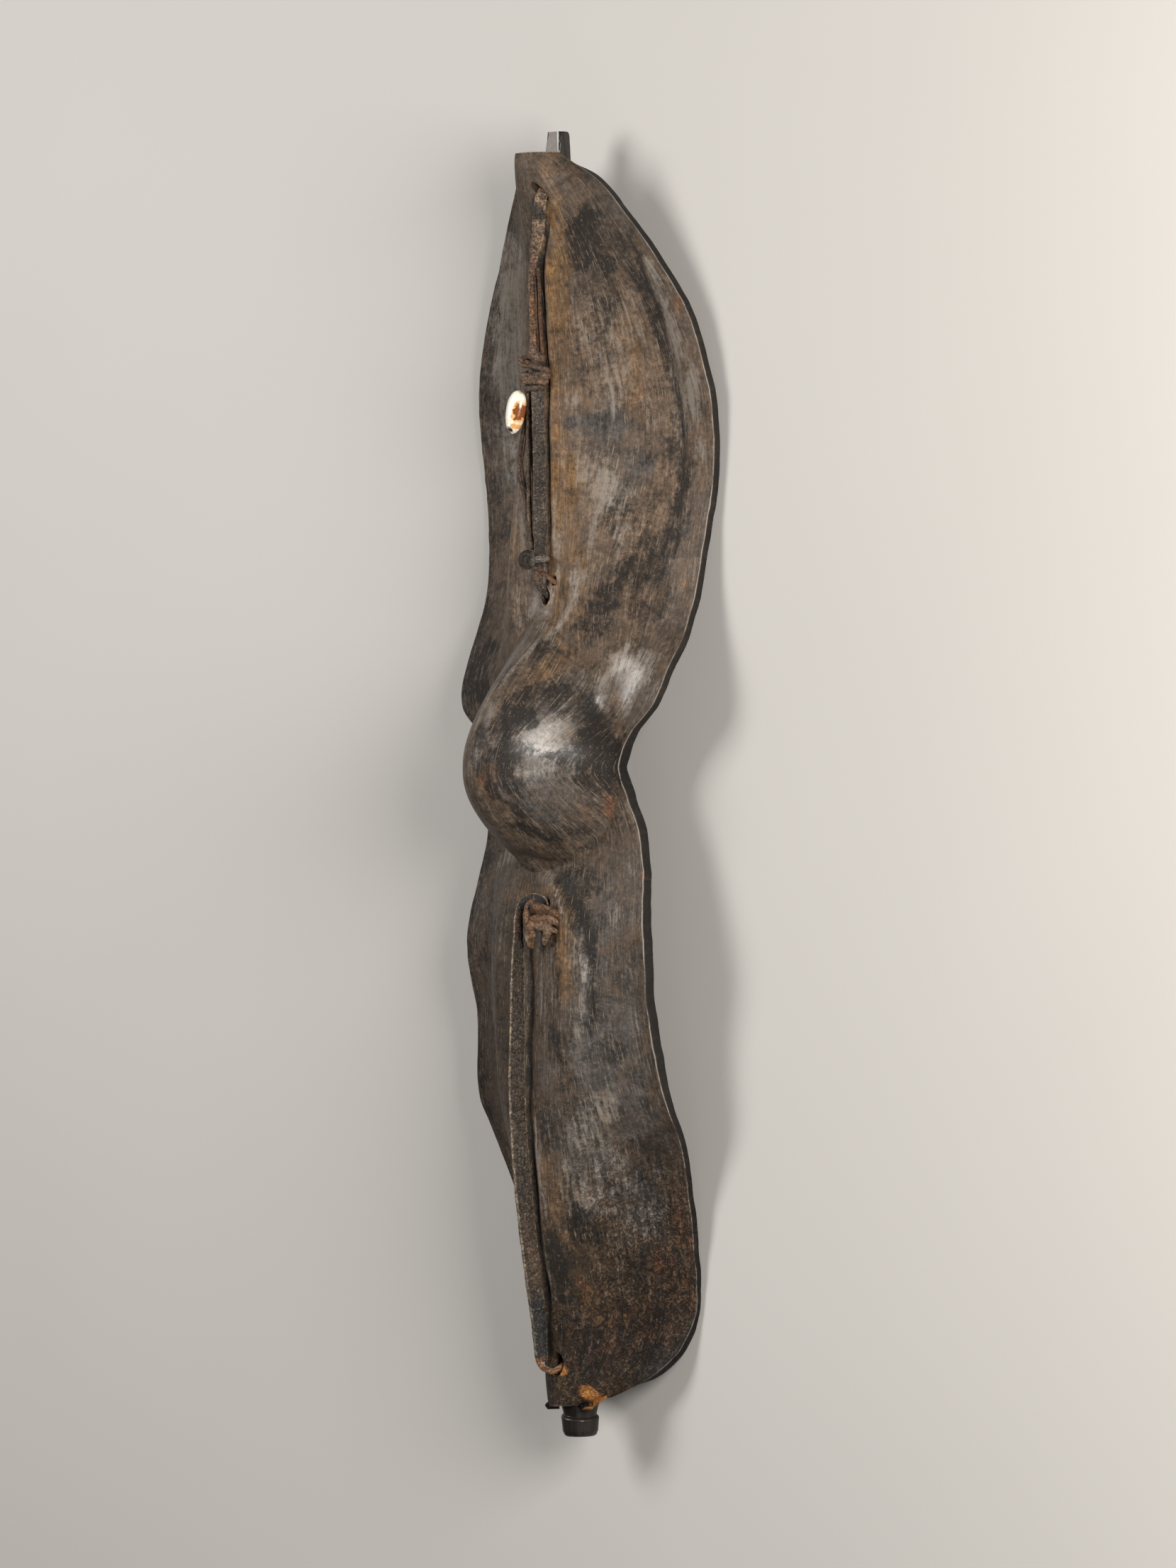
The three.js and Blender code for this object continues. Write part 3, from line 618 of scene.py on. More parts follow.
# Patches of another colour, each set laid over the ones before it
TINTED = [
    ("slate", [
        (-108, 279, 17, 56, 0.45), (42, 256, 20, 12, 0.65), (64, 220, 9, 13, 0.6), (53, 213, 11, 17, 0.35),
    ]),
    ("ochre", [
        (19, 412, 5, 31, 0.6), (19, 345, 9, 77, 0.6), (25, 190, 17, 62, 0.9, 5), (34, 150, 12, 30, 0.5),
        (106, 141, 5, 5, 0.7), (30, 125, 12, 12, 0.5, 20), (55, 3, 3, 16, 0.6),
    ]),
    ("rust", [
        (32, 444, 3, 5, 0.5), (106, 342, 5, 7, 0.6), (5, 314, 6, 13, 0.6), (14, 7, 11, 11, 0.75),
        (60, -17, 4, 12, 0.6), (26, -361, 3, 9, 0.4, 15), (40, -437, 8, 5, 0.45, -10),
    ]),
    ("ochre", [(16, -81, 20, 6, 0.5), (38, -125, 9, 46, 0.5, 5)]),
    ("slate", [
        (54, 250, 20, 34, 0.35), (45, 60, 26, 18, 0.5), (22, 30, 14, 30, 0.5), (46, 14, 12, 20, 0.6),
        (44, -7, 9, 15, 0.5), (30, -14, 9, 18, 0.85, 20), (-73, -80, 26, 31, 0.45), (74, -150, 22, 66, 0.6),
    ]),
    ("ochre", [
        (60, 300, 10, 50, 0.35), (10, 280, 8, 34, 0.7), (-18, 250, 9, 60, 0.55), (13, 225, 8, 34, 0.7, 4),
        (18, 178, 13, 48, 0.7), (22, 176, 10, 24, 0.75, 20), (-46, 170, 20, 40, 0.35),
        (22, 140, 13, 18, 0.6), (20, 128, 8, 26, 0.7, -6), (26, 84, 8, 26, 0.4),
    ]),
    ("rust", [(92, -67, 3, 3, 0.9)]),
    ("slate", [
        (-90, 310, 22, 50, 0.5), (33, 259, 12, 7, 0.8), (48, 258, 10, 8, 0.8), (64, 226, 10, 12, 0.7, 30),
        (62, -100, 12, 40, 0.5), (50, -170, 14, 40, 0.55), (82, -215, 16, 50, 0.7, 10),
        (36, -262, 16, 34, 0.6), (64, -300, 16, 36, 0.6),
    ]),
    ("rust", [(64, -345, 3, 16, 0.55, 8), (84, -372, 8, 14, 0.3)]),
    ("slate", [(44, -250, 16, 40, 0.5, 10), (66, -290, 16, 30, 0.5)]),
    ("rust", [(50, -396, 36, 26, 0.5, 10)]),
    ("ochre", [
        (10, 350, 8, 60, 0.5), (-30, 190, 12, 50, 0.4), (-10, -82, 8, 16, 0.5), (20, -82, 14, 12, 0.7, 20),
        (34, -106, 10, 20, 0.7, 15), (37, -138, 9, 26, 0.6), (30, -382, 20, 20, 0.4),
    ]),
    ("slate", [(56, -192, 18, 24, 0.6), (66, -232, 18, 36, 0.6, 10), (42, -276, 16, 24, 0.6)]),
    ("rust", [(88, -320, 8, 30, 0.4, 10), (70, -350, 10, 30, 0.4, 10)]),
]

FOOT_NICK_X, FOOT_NICK_Y = 20.8, -438.5

# Raw breaks in the edge, as patches
FRESH = [(FOOT_NICK_X, FOOT_NICK_Y, 3.4, 7.5, 1.0, 12), (8, -421, 6, 5, 0.85), (93, -67, 1.6, 1.6, 0.3)]

# Dark lines of painted shade in the gaps and grooves beside the straps and folds, with dirt in them too:
# points, half width, strength
SHADED_SEAMS = [
    ([(14, 422), (13.5, 405), (11, 390), (6.5, 374), (4.5, 350), (4, 325), (5, 304), (6, 279), (5.6, 238),
      (5.8, 197), (5.8, 167), (6, 146), (7, 132)], 1.7, 1.0),
    ([(3, 378), (1.5, 352), (0.5, 325), (0, 312)], 4.5, 0.9),
    ([(-8, 300), (-9, 262), (-9, 215), (-8, 172)], 3.0, 0.6),
    ([(-3, -104), (-1.8, -150), (-1, -205), (-0.4, -255), (-0.2, -305), (-0.6, -355), (-0.6, -408)],
     3.2, 1.0),
    ([(-14, -110), (-13, -200), (-13, -300), (-12, -400)], 4.0, 0.7),
    ([(10, -84), (22, -82), (30, -86)], 4.0, 0.9),
    ([(46, 62), (57, 44), (62, 28), (61, 8), (54, -14)], 7.0, 0.6),
    ([(68, 392), (76, 356), (81, 314), (89, 276), (93, 246), (92, 216), (85, 176)], 4.0, 0.55),
    ([(30, -69), (46, -88), (54, -108), (57, -129), (56, -150), (53, -178)], 3.4, 0.85),
    ([(-2, 66), (10, 90), (24, 103), (40, 116)], 4.0, 0.4),
]

# Painted light and shade along the hide, lighter over the upper wings and darker towards the foot: [place
# along Y, lightness]
PAINTED_LIGHTNESS = [
    [470, 0.90], [395, 0.75], [340, 0.98], [280, 1.28], [200, 1.30], [150, 1.2], [105, 0.88],
    [60, 0.86], [0, 0.86], [-60, 0.76], [-120, 0.70], [-180, 0.64], [-245, 0.68], [-295, 1.1],
    [-345, 0.84], [-405, 0.66], [-470, 0.7],
]

# Crests that hands and cloth have rubbed pale, with painted highlights along them: points, half width,
# strength
RUBBED_LIT_CRESTS = [
    ([(-6, 44), (4, 72), (12, 94), (23, 112), (35, 129), (40, 150)], 3.4, 0.75),
    ([(7, -60), (26, -76), (39, -93), (46, -109), (49, -129), (49, -155), (47, -181)], 3.0, 0.5),
    ([(7, -238), (7.6, -285), (7, -330), (6, -372)], 1.3, 0.8),
    ([(-60, 380), (-84, 320), (-92, 250), (-84, 170)], 2.4, 0.35),
    ([(-48, 340), (-58, 260), (-56, 180)], 1.6, 0.4),
    ([(-30, 150), (-22, 112), (-16, 84)], 1.6, 0.5),
    ([(-44, -60), (-52, -120), (-50, -200)], 2.0, 0.4),
    ([(14, 122), (8, 104), (0, 84)], 1.2, 0.4),
]

# Places that are rubbed smooth and glossy, as patches
RUBBED = [
    (10, 26, 36, 60, 0.26), (40, 29, 17, 18, 0.65), (71, 75, 20, 25, 1.0, -35),
    (-2, 120, 14, 60, 0.5, -20), (52, -200, 40, 120, 0.3),
]


def patch(x, y, warp, mark):
    """How much of a patch (x, y, half across, half along, strength, turn if any) covers each place."""
    *oval, strength, turn = mark if len(mark) == 6 else (*mark, 0)
    return strength * (1 - smooth(in_oval(x, y, *oval, turn) + warp, 0.45, 1.25))


def built_up(amount, layers, x, y, warp):
    """Patches over patches: each covers its share of what is still uncovered."""
    for depth, marks in layers:
        for mark in marks:
            amount = amount + (1 - amount) * depth * patch(x, y, warp, mark)
    return amount


def lined(amount, lines, x, y):
    """The same for soft lines."""
    for line, width, strength in lines:
        far, _, _ = from_line(x, y, line)
        amount = amount + (1 - amount) * strength * np.exp(-((far / width) ** 2))
    return amount


def hide_paint(x, y):
    """The base colour of each place, how dirty and shaded it is, and how far it is rubbed pale and given
    painted sheen.
    """
    place = np.stack([x, y, 0 * x], axis=1)
    warp = ripples(place, PATCH_EDGES)
    tint = {name: np.array(value) for name, value in TINTS.items()}
    low = smooth(-y, 150, 430)[:, None]
    tone = tint["taupe"] * (1 - low) + tint["brown"] * low
    tone = tone * along(PAINTED_LIGHTNESS, y)[:, None]
    # Towards the left rim the hide is darkened as painted shade, carried in the same mask as the dirt.
    rim_share = -x / along(HALF_WIDTH, y) + 0.10 * ripple(place, 14, 34)
    soiled_and_shaded = built_up(lined(0.55 * smooth(rim_share, 0.80, 1.0), SHADED_SEAMS, x, y), SOILED_AND_SHADED_LAYERS, x, y, warp)
    bared_and_sheen = built_up(lined(np.zeros(len(x)), RUBBED_LIT_CRESTS, x, y), BARED_AND_SHEEN_LAYERS, x, y, warp)
    for name, marks in TINTED:
        for mark in marks:
            amount = patch(x, y, warp, mark)[:, None]
            tone = tone * (1 - amount) + tint[name] * amount
    fresh = np.clip(sum(patch(x, y, 0.5 * warp, mark) for mark in FRESH), 0, 1)
    return tone, soiled_and_shaded, bared_and_sheen, fresh


def hide_finish():
    skin = Finish("moulded_rawhide", Specular_IOR_Level=0.26, Coat_Roughness=0.34, Coat_IOR=1.5)
    flow = skin.stored("flow", "Vector")
    tone = skin.stored("hide_tone", "Color")
    masks = "pitted", "wrinkled", "shine", "inner", "brink"
    pitted, wrinkled, shine, inner, brink = [skin.stored(name) for name in masks]
    speckle = skin.noise(skin.here, 300, 6, 0.75, 0.3)
    cloudy = skin.noise(skin.here, 70, 8, 0.75, 0.5)
    fibre = skin.noise(skin.stretched(flow, (700, 45, 50)), 1.0, 5, 0.68, 0.3)
    drawn = skin.noise(skin.stretched(flow, (300, 24, 40)), 1.0, 8, 0.78, 0.4)

    # Light and dark in clouds, fibres and specks, then warmer and cooler clouds
    clouds = skin.spread(cloudy, 0.36, 0.64, 0.45, 1.55)
    shade = skin.times(clouds, skin.spread(fibre, 0.34, 0.66, 0.55, 1.5))
    shade = skin.times(shade, skin.spread(speckle, 0.36, 0.64, 0.62, 1.45))
    colour = skin.scaled(tone, shade)
    warm = skin.noise(skin.stretched(skin.here, (1, 0.5, 1), (0, 0, 0.3)), 75, 8, 0.78)
    colour = skin.mixed(skin.spread(warm, 0.53, 0.62, 0, 0.30), colour, TINTS["ochre"])
    cool = skin.noise(skin.stretched(skin.here, (1, 0.6, 1), (0.4, 0, 0)), 34, 9, 0.8, 0.4)
    colour = skin.mixed(skin.spread(cool, 0.48, 0.60, 0, 0.25), colour, TINTS["slate"])

    # Rubbed pale, in streaks, together with painted sheen
    pale = skin.sum(skin.stored("bared_and_sheen"), skin.spread(drawn, 0.34, 0.66, -0.65, 0.65))
    pale = skin.sum(pale, skin.spread(speckle, 0.34, 0.66, -0.25, 0.25))
    pale = skin.spread(pale, 0.25, 1.05)
    colour = skin.mixed(skin.times(pale, 0.80), colour, TINTS["pale_and_sheen_grey"])

    # Grime that has settled in blots, together with painted shade
    blot = skin.noise(skin.stretched(skin.here, (1, 0.6, 1)), 58, 8, 0.78, 0.4)
    grime_and_shade = skin.sum(skin.times(skin.stored("soiled_and_shaded"), 1.15), skin.spread(blot, 0.34, 0.66, -0.50, 0.50))
    grime_and_shade = skin.sum(grime_and_shade, skin.spread(speckle, 0.34, 0.66, 0.25, -0.25))
    grime_and_shade = skin.sum(grime_and_shade, skin.spread(drawn, 0.34, 0.66, 0.35, -0.35))
    grime_and_shade = skin.spread(grime_and_shade, 0.20, 1.05)
    colour = skin.mixed(skin.times(grime_and_shade, 0.90), colour, TINTS["charcoal"])

    # Dust, short pale scuffs, and pits at the foot
    dust = skin.noise(skin.here, 620, 3, 0.6)
    colour = skin.mixed(skin.spread(dust, 0.62, 0.70, 0, 0.6), colour, TINTS["tan"])
    strokes = skin.noise(skin.stretched(flow, (1300, 70, 70), (0, 0, 0.2)), 1.0, 2, 0.5)
    colour = skin.mixed(skin.spread(strokes, 0.63, 0.71, 0, 0.65), colour, TINTS["scuff"])
    pits = skin.spread(skin.noise(skin.here, 250, 5, 0.65, 1.6), 0.42, 0.52, 1, 0)
    pitting = skin.times(pits, pitted)
    colour = skin.mixed(skin.times(pitting, 0.7), colour, TINTS["charcoal"])

    # Painted shade on the cut wall, a painted highlight along its worn outer edge, and raw hide where it
    # has torn
    shaded_wall = skin.times(brink, skin.spread(inner, 0.02, 0.2))
    colour = skin.mixed(skin.times(shaded_wall, 0.93), colour, TINTS["charcoal"])
    arris = skin.times(skin.spread(brink, 0.7, 1), skin.spread(inner, 0.02, 0.13, 1, 0))
    arris_highlight = skin.times(arris, skin.spread(drawn, 0.40, 0.56, 0.0, 0.85))
    colour = skin.mixed(arris_highlight, colour, TINTS["arris_highlight"])
    raw = skin.mixed(skin.spread(cloudy, 0.35, 0.65), TINTS["raw_deep"], TINTS["raw_bright"])
    colour = skin.mixed(skin.spread(skin.stored("fresh"), 0.25, 0.6), colour, raw)

    # Gloss where it is rubbed, less under dirt and painted shade
    rough = skin.sum(skin.spread(cloudy, 0.35, 0.65, 0.46, 0.66), skin.times(grime_and_shade, 0.08))
    gloss = skin.sum(skin.sum(shine, skin.times(pale, 0.25)), skin.times(arris, 0.6))
    gloss = skin.times(skin.sum(gloss, 0.09), skin.spread(grime_and_shade, 0.2, 1, 1, 0.25))
    gloss = skin.times(gloss, skin.spread(speckle, 0.36, 0.64, 0.6, 1.15))
    gloss = skin.sum(gloss, 0.95, "MINIMUM")

    # Pits, the wrinkles below the boss, fibres, specks and clouds to the touch
    normal = skin.bumped(skin.times(pitting, -1), 0.0030)
    waves = skin.add(
        "ShaderNodeTexWave",
        {"Vector": flow, "Scale": 62.0, "Distortion": 4.2, "Detail": 2.5, "Detail Scale": 14.0},
        wave_type="BANDS", bands_direction="Y",
    ).outputs["Fac"]
    normal = skin.bumped(skin.times(waves, wrinkled), 0.0004, normal)
    calm = skin.spread(shine, 0, 0.8, 1, 0.25)
    normal = skin.bumped(skin.times(fibre, calm), 0.00030, normal)
    normal = skin.bumped(skin.times(speckle, calm), 0.0008, normal)
    normal = skin.bumped(skin.times(cloudy, calm), 0.0018, normal)
    return skin.drive(Base_Color=colour, Roughness=rough, Coat_Weight=gloss, Normal=normal)


def coat(piece, finish):
    """Gives the whole piece one finish, whatever slots its modifiers left."""
    piece.data.materials.clear()
    piece.data.materials.append(finish)
    piece.data.polygons.foreach_set("material_index", [0] * len(piece.data.polygons))
    piece.data.update()


# ---- the hide ----
HIDE_COLUMNS = 110
HIDE_ROWS = 400
FOOT_DRAWN_IN_LEFT, FOOT_DRAWN_IN_RIGHT = 0.30, 0.15  # share of the half width lost at the foot's end
FOOT_DRAWN_IN_FROM = 424
FOOT_CORNER_UP = 2.5
CUTTER_SIDES = 36
CUTTER_LENGTH = 50
CUTTER_BELOW_FACE = 13
EASED_MARKS = (54, 48, 40, 62, 1), (0, 10, 60, 34, 0.9)  # where the boss runs into the face
EASING_PASSES = 22
FLOOR_MARGIN = 2  # millimetres over which the lowest edge is turned up so that it stays above the floor


def cut_holes(piece):
    cutters = []
    for x, y, half_x, half_y, turn in HOLES:
        bpy.ops.object.select_all(action="DESELECT")
        middle = in_place([over(x, y, -CUTTER_BELOW_FACE)])[0]
        length = CUTTER_LENGTH * MM
        bpy.ops.mesh.primitive_cylinder_add(vertices=CUTTER_SIDES, radius=1, depth=length, location=middle)
        cutter = bpy.context.object
        cutter.scale = (half_x * MM, half_y * MM, 1)
        cutter.rotation_euler[2] = math.radians(turn)
        bpy.ops.object.transform_apply()
        cutters.append(cutter)
    cutter = joined("hole_cutters", cutters)
    take_away(piece, cutter)
    apply_all(piece)
    bpy.data.objects.remove(cutter)


def paint_hide(piece, x, y):
    for name, values in zip(("hide_tone", "soiled_and_shaded", "bared_and_sheen", "fresh"), hide_paint(x, y)):
        store(piece, name, values)
    half = along(HALF_WIDTH, y)
    store(piece, "flow", np.stack([x / half * MEAN_HALF_WIDTH, y, 0 * x], axis=1) * MM)
    foot = smooth(-y, 230, 330) * smooth(x, 18, 50) + smooth(-y, 330, 400)
    store(piece, "pitted", np.clip(foot, 0, 1))
    store(piece, "wrinkled", np.exp(-(((y + 47) / 13) ** 2)) * smooth(x, -12, 4) * smooth(64 - x, 0, 14))
    store(piece, "shine", np.clip(sum(patch(x, y, 0.0, mark) for mark in RUBBED), 0, 1))


def soil_hole_walls(piece):
    """The cut holes are new surface, so they get the colour of old grime."""
    x, y, _ = in_shield(points_of(piece)).T
    walls = [in_oval(x, y, *hole) < 1.02 for hole in HOLES]
    inside = np.any(walls, axis=0)
    torn = walls[-1]
    old_grime = {"soiled_and_shaded": 0.7, "inner": 0.5}
    for name in ("soiled_and_shaded", "fresh", "bared_and_sheen", "pitted", "wrinkled", "shine", "brink", "inner"):
        held = np.empty(len(x))
        piece.data.attributes[name].data.foreach_get("value", held)
        held[inside] = old_grime.get(name, 0)
        if name in ("fresh", "soiled_and_shaded"):
            held[torn] = float(name == "fresh")
        piece.data.attributes[name].data.foreach_set("value", held)
    for k in np.nonzero(inside)[0]:
        piece.data.attributes["hide_tone"].data[k].color = (*TINTS["brown"], 1)
        piece.data.attributes["flow"].data[k].vector = piece.data.vertices[k].co


def weigh(piece, name, values):
    """Keeps a weight for each vertex, which a modifier reads."""
    group = piece.vertex_groups.new(name=name)
    for index, value in enumerate(values):
        group.add([index], float(value), "REPLACE")


def bevel_rim(piece):
    """Rounds both edges of the cut rim, which has the second material slot."""
    bpy.ops.object.mode_set(mode="EDIT")
    bpy.ops.mesh.select_mode(type="FACE")
    bpy.ops.mesh.select_all(action="DESELECT")
    piece.active_material_index = 1
    bpy.ops.object.material_slot_select()
    bpy.ops.mesh.region_to_loop()
    bpy.ops.mesh.bevel(offset=RIM_BEVEL * MM, segments=3, affect="EDGES", clamp_overlap=True)
    bpy.ops.object.mode_set(mode="OBJECT")


def make_hide():
    piece = sheet_grid("moulded_hide", HIDE_COLUMNS, HIDE_ROWS)
    grid = points_of(piece)
    y = row_places((1 - grid[:, 1]) / 2)
    edge = np.stack([np.sign(grid[:, 0]) * 300, y, 0 * y], axis=1)
    half = along(HALF_WIDTH, y) + 0.8 * ripple(edge, 21, 11) + 0.35 * ripple(edge, 7, 12)
    drawn_in = np.where(grid[:, 0] < 0, FOOT_DRAWN_IN_LEFT, FOOT_DRAWN_IN_RIGHT)
    x = half * grid[:, 0] * (1 - drawn_in * smooth(-y, FOOT_DRAWN_IN_FROM, -HIDE_FOOT))
    corner = smooth(np.abs(grid[:, 0]), 0.75, 1.0) ** 2
    y = y + FOOT_CORNER_UP * smooth(-y, -HIDE_FOOT - 7, -HIDE_FOOT) * corner
    normal = face_normal(x * 0.995, y)
    plain = np.stack([x, y, face_height(x, y)], axis=1)
    put_points(piece, in_place(plain + normal * hide_relief(x, y)[:, None]))
    thick = THIN_HIDE + (THICK_HIDE - THIN_HIDE) * smooth(60 - y, 0, 50) * smooth(y + 250, 0, 60)
    on_brink = np.maximum(np.abs(grid[:, 0]), np.abs(grid[:, 1])) > 0.9999
    store(piece, "brink", on_brink.astype(float))
    paint_hide(piece, x, y)
    weigh(piece, "thickness", thick / THICK_HIDE)
    eased = np.max([patch(x, y, 0, mark) for mark in EASED_MARKS], axis=0)
    weigh(piece, "eased", eased * smooth(half - np.abs(x), 1, 12))
    even = piece.modifiers.new("even", "SMOOTH")
    even.factor = 0.5
    even.iterations = EASING_PASSES
    even.vertex_group = "eased"
    finish = hide_finish()
    piece.data.materials.append(finish)
    piece.data.materials.append(finish)
    wall = piece.modifiers.new("wall", "SOLIDIFY")
    wall.thickness = THICK_HIDE * MM
    wall.offset = -1
    wall.vertex_group = "thickness"
    wall.use_quality_normals = True
    wall.material_offset_rim = 1
    wall.shell_vertex_group = piece.vertex_groups.new(name="inner").name
    apply_all(piece)
    bevel_rim(piece)
    inner_group = piece.vertex_groups["inner"].index
    inner = [
        sum(part.weight for part in vertex.groups if part.group == inner_group)
        for vertex in piece.data.vertices
    ]
    piece.vertex_groups.clear()
    store(piece, "inner", inner)
    points = points_of(piece)
    low = FLOOR_MARGIN * MM
    height = points[:, 2]
    points[:, 2] = np.where(height < low, low * np.exp(np.minimum(height - low, 0) / low), height)
    put_points(piece, points)
    cut_holes(piece)
    soil_hole_walls(piece)
    bpy.ops.object.shade_smooth_by_angle(angle=math.radians(40))
    coat(piece, finish)
    return piece


# ---- straps and thongs ----
def swept(name, rows, steps, sides, hint=None, squareness=1.0, wear=0.12, closed=False):
    """A strap or thong through rows of x, y, z, width, thickness and lean.

    The lean turns the broad face about Y: 0 faces up, 90 faces to the right. With no lean hint the
    section follows the line round without twisting.
    """
    centre = rows[:, :3]
    forward = np.gradient(centre, axis=0)
    if closed:
        forward[0] = forward[-1] = centre[1] - centre[-2]
    forward /= np.linalg.norm(forward, axis=1, keepdims=True)
    lean = np.radians(rows[:, 5])
    facing = np.stack([np.sin(lean), 0 * lean, np.cos(lean)], axis=1)
    if hint is not None:
        facing = np.empty_like(centre)
        now = np.array(hint, float)
        for k, along_line in enumerate(forward):
            now = now - along_line * np.dot(now, along_line)
            now /= np.linalg.norm(now)
            facing[k] = now
    across = np.cross(facing, forward)
    across /= np.linalg.norm(across, axis=1, keepdims=True)
    out = np.cross(forward, across)
    length = np.concatenate([[0], np.cumsum(np.linalg.norm(np.diff(centre, axis=0), axis=1))])
    ease = np.ones(len(rows))
    if not closed:
        tip = np.minimum(length, length[-1] - length) / (0.5 * np.minimum(rows[:, 3], rows[:, 4]))
        ease = np.sqrt(1 - (1 - np.clip(tip, 0.03, 1)) ** 2)

    def section(around, run):
        k = np.rint(run * steps).astype(int)
        angle = 2 * np.pi * around
        c, s = np.cos(angle), np.sin(angle)
        u = np.sign(c) * np.abs(c) ** squareness
        v = np.sign(s) * np.abs(s) ** squareness
        return k, u, v

    def place(around, run):
        k, u, v = section(around, run)
        points = (
            centre[k]
            + across[k] * (u * rows[k, 3] / 2 * ease[k])[:, None]
            + out[k] * (v * rows[k, 4] / 2 * ease[k])[:, None]
        )
        rough = wear * ripple(points, 3.1, 41) + 0.6 * wear * ripple(points, 1.4, 42)
        radial = across[k] * u[:, None] + out[k] * v[:, None]
        return points + radial * (rough * ease[k])[:, None]

    def extra(around, run):
        k, u, v = section(around, run)
        return {
            "flow": np.stack([u * rows[k, 3] / 2, length[k], v * rows[k, 4] / 2], axis=1) * MM,
            "brink": smooth(np.abs(u), 0.8, 0.98),
        }

    return rolled(name, sides, steps, place, closed, extra)


def strap_piece(name, stations, steps, sides=22, wear=0.14):
    return swept(name, spline(stations, steps), steps, sides, squareness=0.55, wear=wear)


def thong_piece(name, route, width, thickness=None, steps=60, sides=14, hint=(0.3, 0.1, 0.95), wear=0.10):
    """A thong through points; width may be one number or one for each point."""
    widths = np.full(len(route), width, float) if np.isscalar(width) else np.array(width, float)
    thick = widths if thickness is None else np.full(len(route), thickness, float)
    stations = [(*point, w, t, 0) for point, w, t in zip(route, widths, thick)]
    return swept(name, spline(stations, steps), steps, sides, hint=hint, squareness=0.8, wear=wear)


LEANING = math.radians(45)
ACROSS = np.array([math.cos(LEANING), 0, -math.sin(LEANING)])
OUTWARD = np.array([math.sin(LEANING), 0, math.cos(LEANING)])


def beside(centre, across, along_y, out):
    """A point near a knot: across the strap, along the shield and out of the face."""
    return tuple(np.array(centre) + ACROSS * across + np.array([0, along_y, 0]) + OUTWARD * out)


def curled(knot, middle, reach, turn):
    """Points of a thong end that curls beside a knot, from one angle to the other."""
    (across, up, out), (reach_across, reach_up, reach_out) = middle, reach
    points = []
    for angle in np.linspace(*turn, 10):
        cos, sin = math.cos(angle), math.sin(angle)
        sideways, upwards = across + reach_across * cos, up + reach_up * sin
        points.append(beside(knot, sideways, upwards, out + reach_out * cos))
    return points


def wrap_piece(name, centre, half_across, half_out, slant, width, thickness, steps=72, bow=0.0):
    """A flat thong wound once round a strap: its two broad ends meet behind."""
    angle = np.linspace(0, 2 * np.pi, steps + 1)
    rows = np.zeros((steps + 1, 6))
    for k, a in enumerate(angle):
        lift = slant * math.cos(a) + bow * math.sin(a)
        rows[k, :3] = beside(centre, half_across * math.cos(a), lift, half_out * math.sin(a))
    rows[:, 3] = thickness
    rows[:, 4] = width
    return swept(name, rows, steps, 18, hint=(0, 1, 0), squareness=0.85, wear=0.42, closed=True)


STAVE_TOP_RADIUS = 8.5
STAVE_SPREAD = 5.3  # how much more the radius is at the foot
RING_GAP = 0.8
RING_THICKNESS = 2.4
RING_WIDTH = 8


def stave_radius(y):
    return STAVE_TOP_RADIUS + STAVE_SPREAD * (STAVE_HALF - y) / (2 * STAVE_HALF)


def ring_piece(name, y):
    """The flat ring of hide round the stave that a strap's legs end in."""
    steps = 72
    angle = np.linspace(0, 2 * np.pi, steps + 1)
    radius = stave_radius(y) + RING_GAP + RING_THICKNESS / 2
    rows = np.zeros((steps + 1, 6))
    rows[:, 0] = radius * np.cos(angle)
    rows[:, 1] = y
    rows[:, 2] = radius * np.sin(angle)
    rows[:, 3] = RING_THICKNESS
    rows[:, 4] = RING_WIDTH
    return swept(name, rows, steps, 16, hint=(0, 1, 0), squareness=0.6, wear=0.14, closed=True)


# Leather colours
DRY_TAN = (0.150, 0.100, 0.066)
ORANGE_HIDE = (0.150, 0.072, 0.032)
DEEP_ORANGE = (0.095, 0.047, 0.023)
PINK_BROWN = (0.110, 0.064, 0.042)
POROUS_GREY = (0.062, 0.047, 0.036)
DARK_STRAP = (0.030, 0.022, 0.016)
STRAP_SHADE_GREY = (0.020, 0.020, 0.020)
DRY_FACE = (0.085, 0.056, 0.036)
HIDE_BROWN = (0.050, 0.036, 0.025)
CUT_EDGE = (0.27, 0.215, 0.16)
RAW_ORANGE = (0.20, 0.09, 0.036)
BRIGHT_ORANGE = (0.36, 0.155, 0.056)
GREY_WRAP = (0.115, 0.098, 0.080)
TAIL_HIGHLIGHT_GREY = (0.26, 0.23, 0.19)
PORE_DARK = (0.010, 0.008, 0.006)
FIBRE_GLINT = (0.36, 0.31, 0.26)


def tone_along(piece, key, stops, warm=None, deep=1.0):
    """Colours a strap by its place along Y, with a blotchy change between the stops.

    Its edges can be warmer or paler, and the whole of it deeper.
    """
    points = in_shield(points_of(piece))
    y = points[:, 1] + 5 * ripple(points, 6, 51)
    places = [-place for place, _ in stops]
    tone = np.stack([np.interp(-y, places, [colour[c] for _, colour in stops]) for c in range(3)], axis=1)
    tone = tone * deep
    if warm is not None:
        edge = np.empty(len(points))
        piece.data.attributes["brink"].data.foreach_get("value", edge)
        amount = (edge * (0.65 + 0.35 * ripple(points, 4, 52)))[:, None]
        tone = tone * (1 - amount) + np.array(warm) * amount
    store(piece, key, tone)


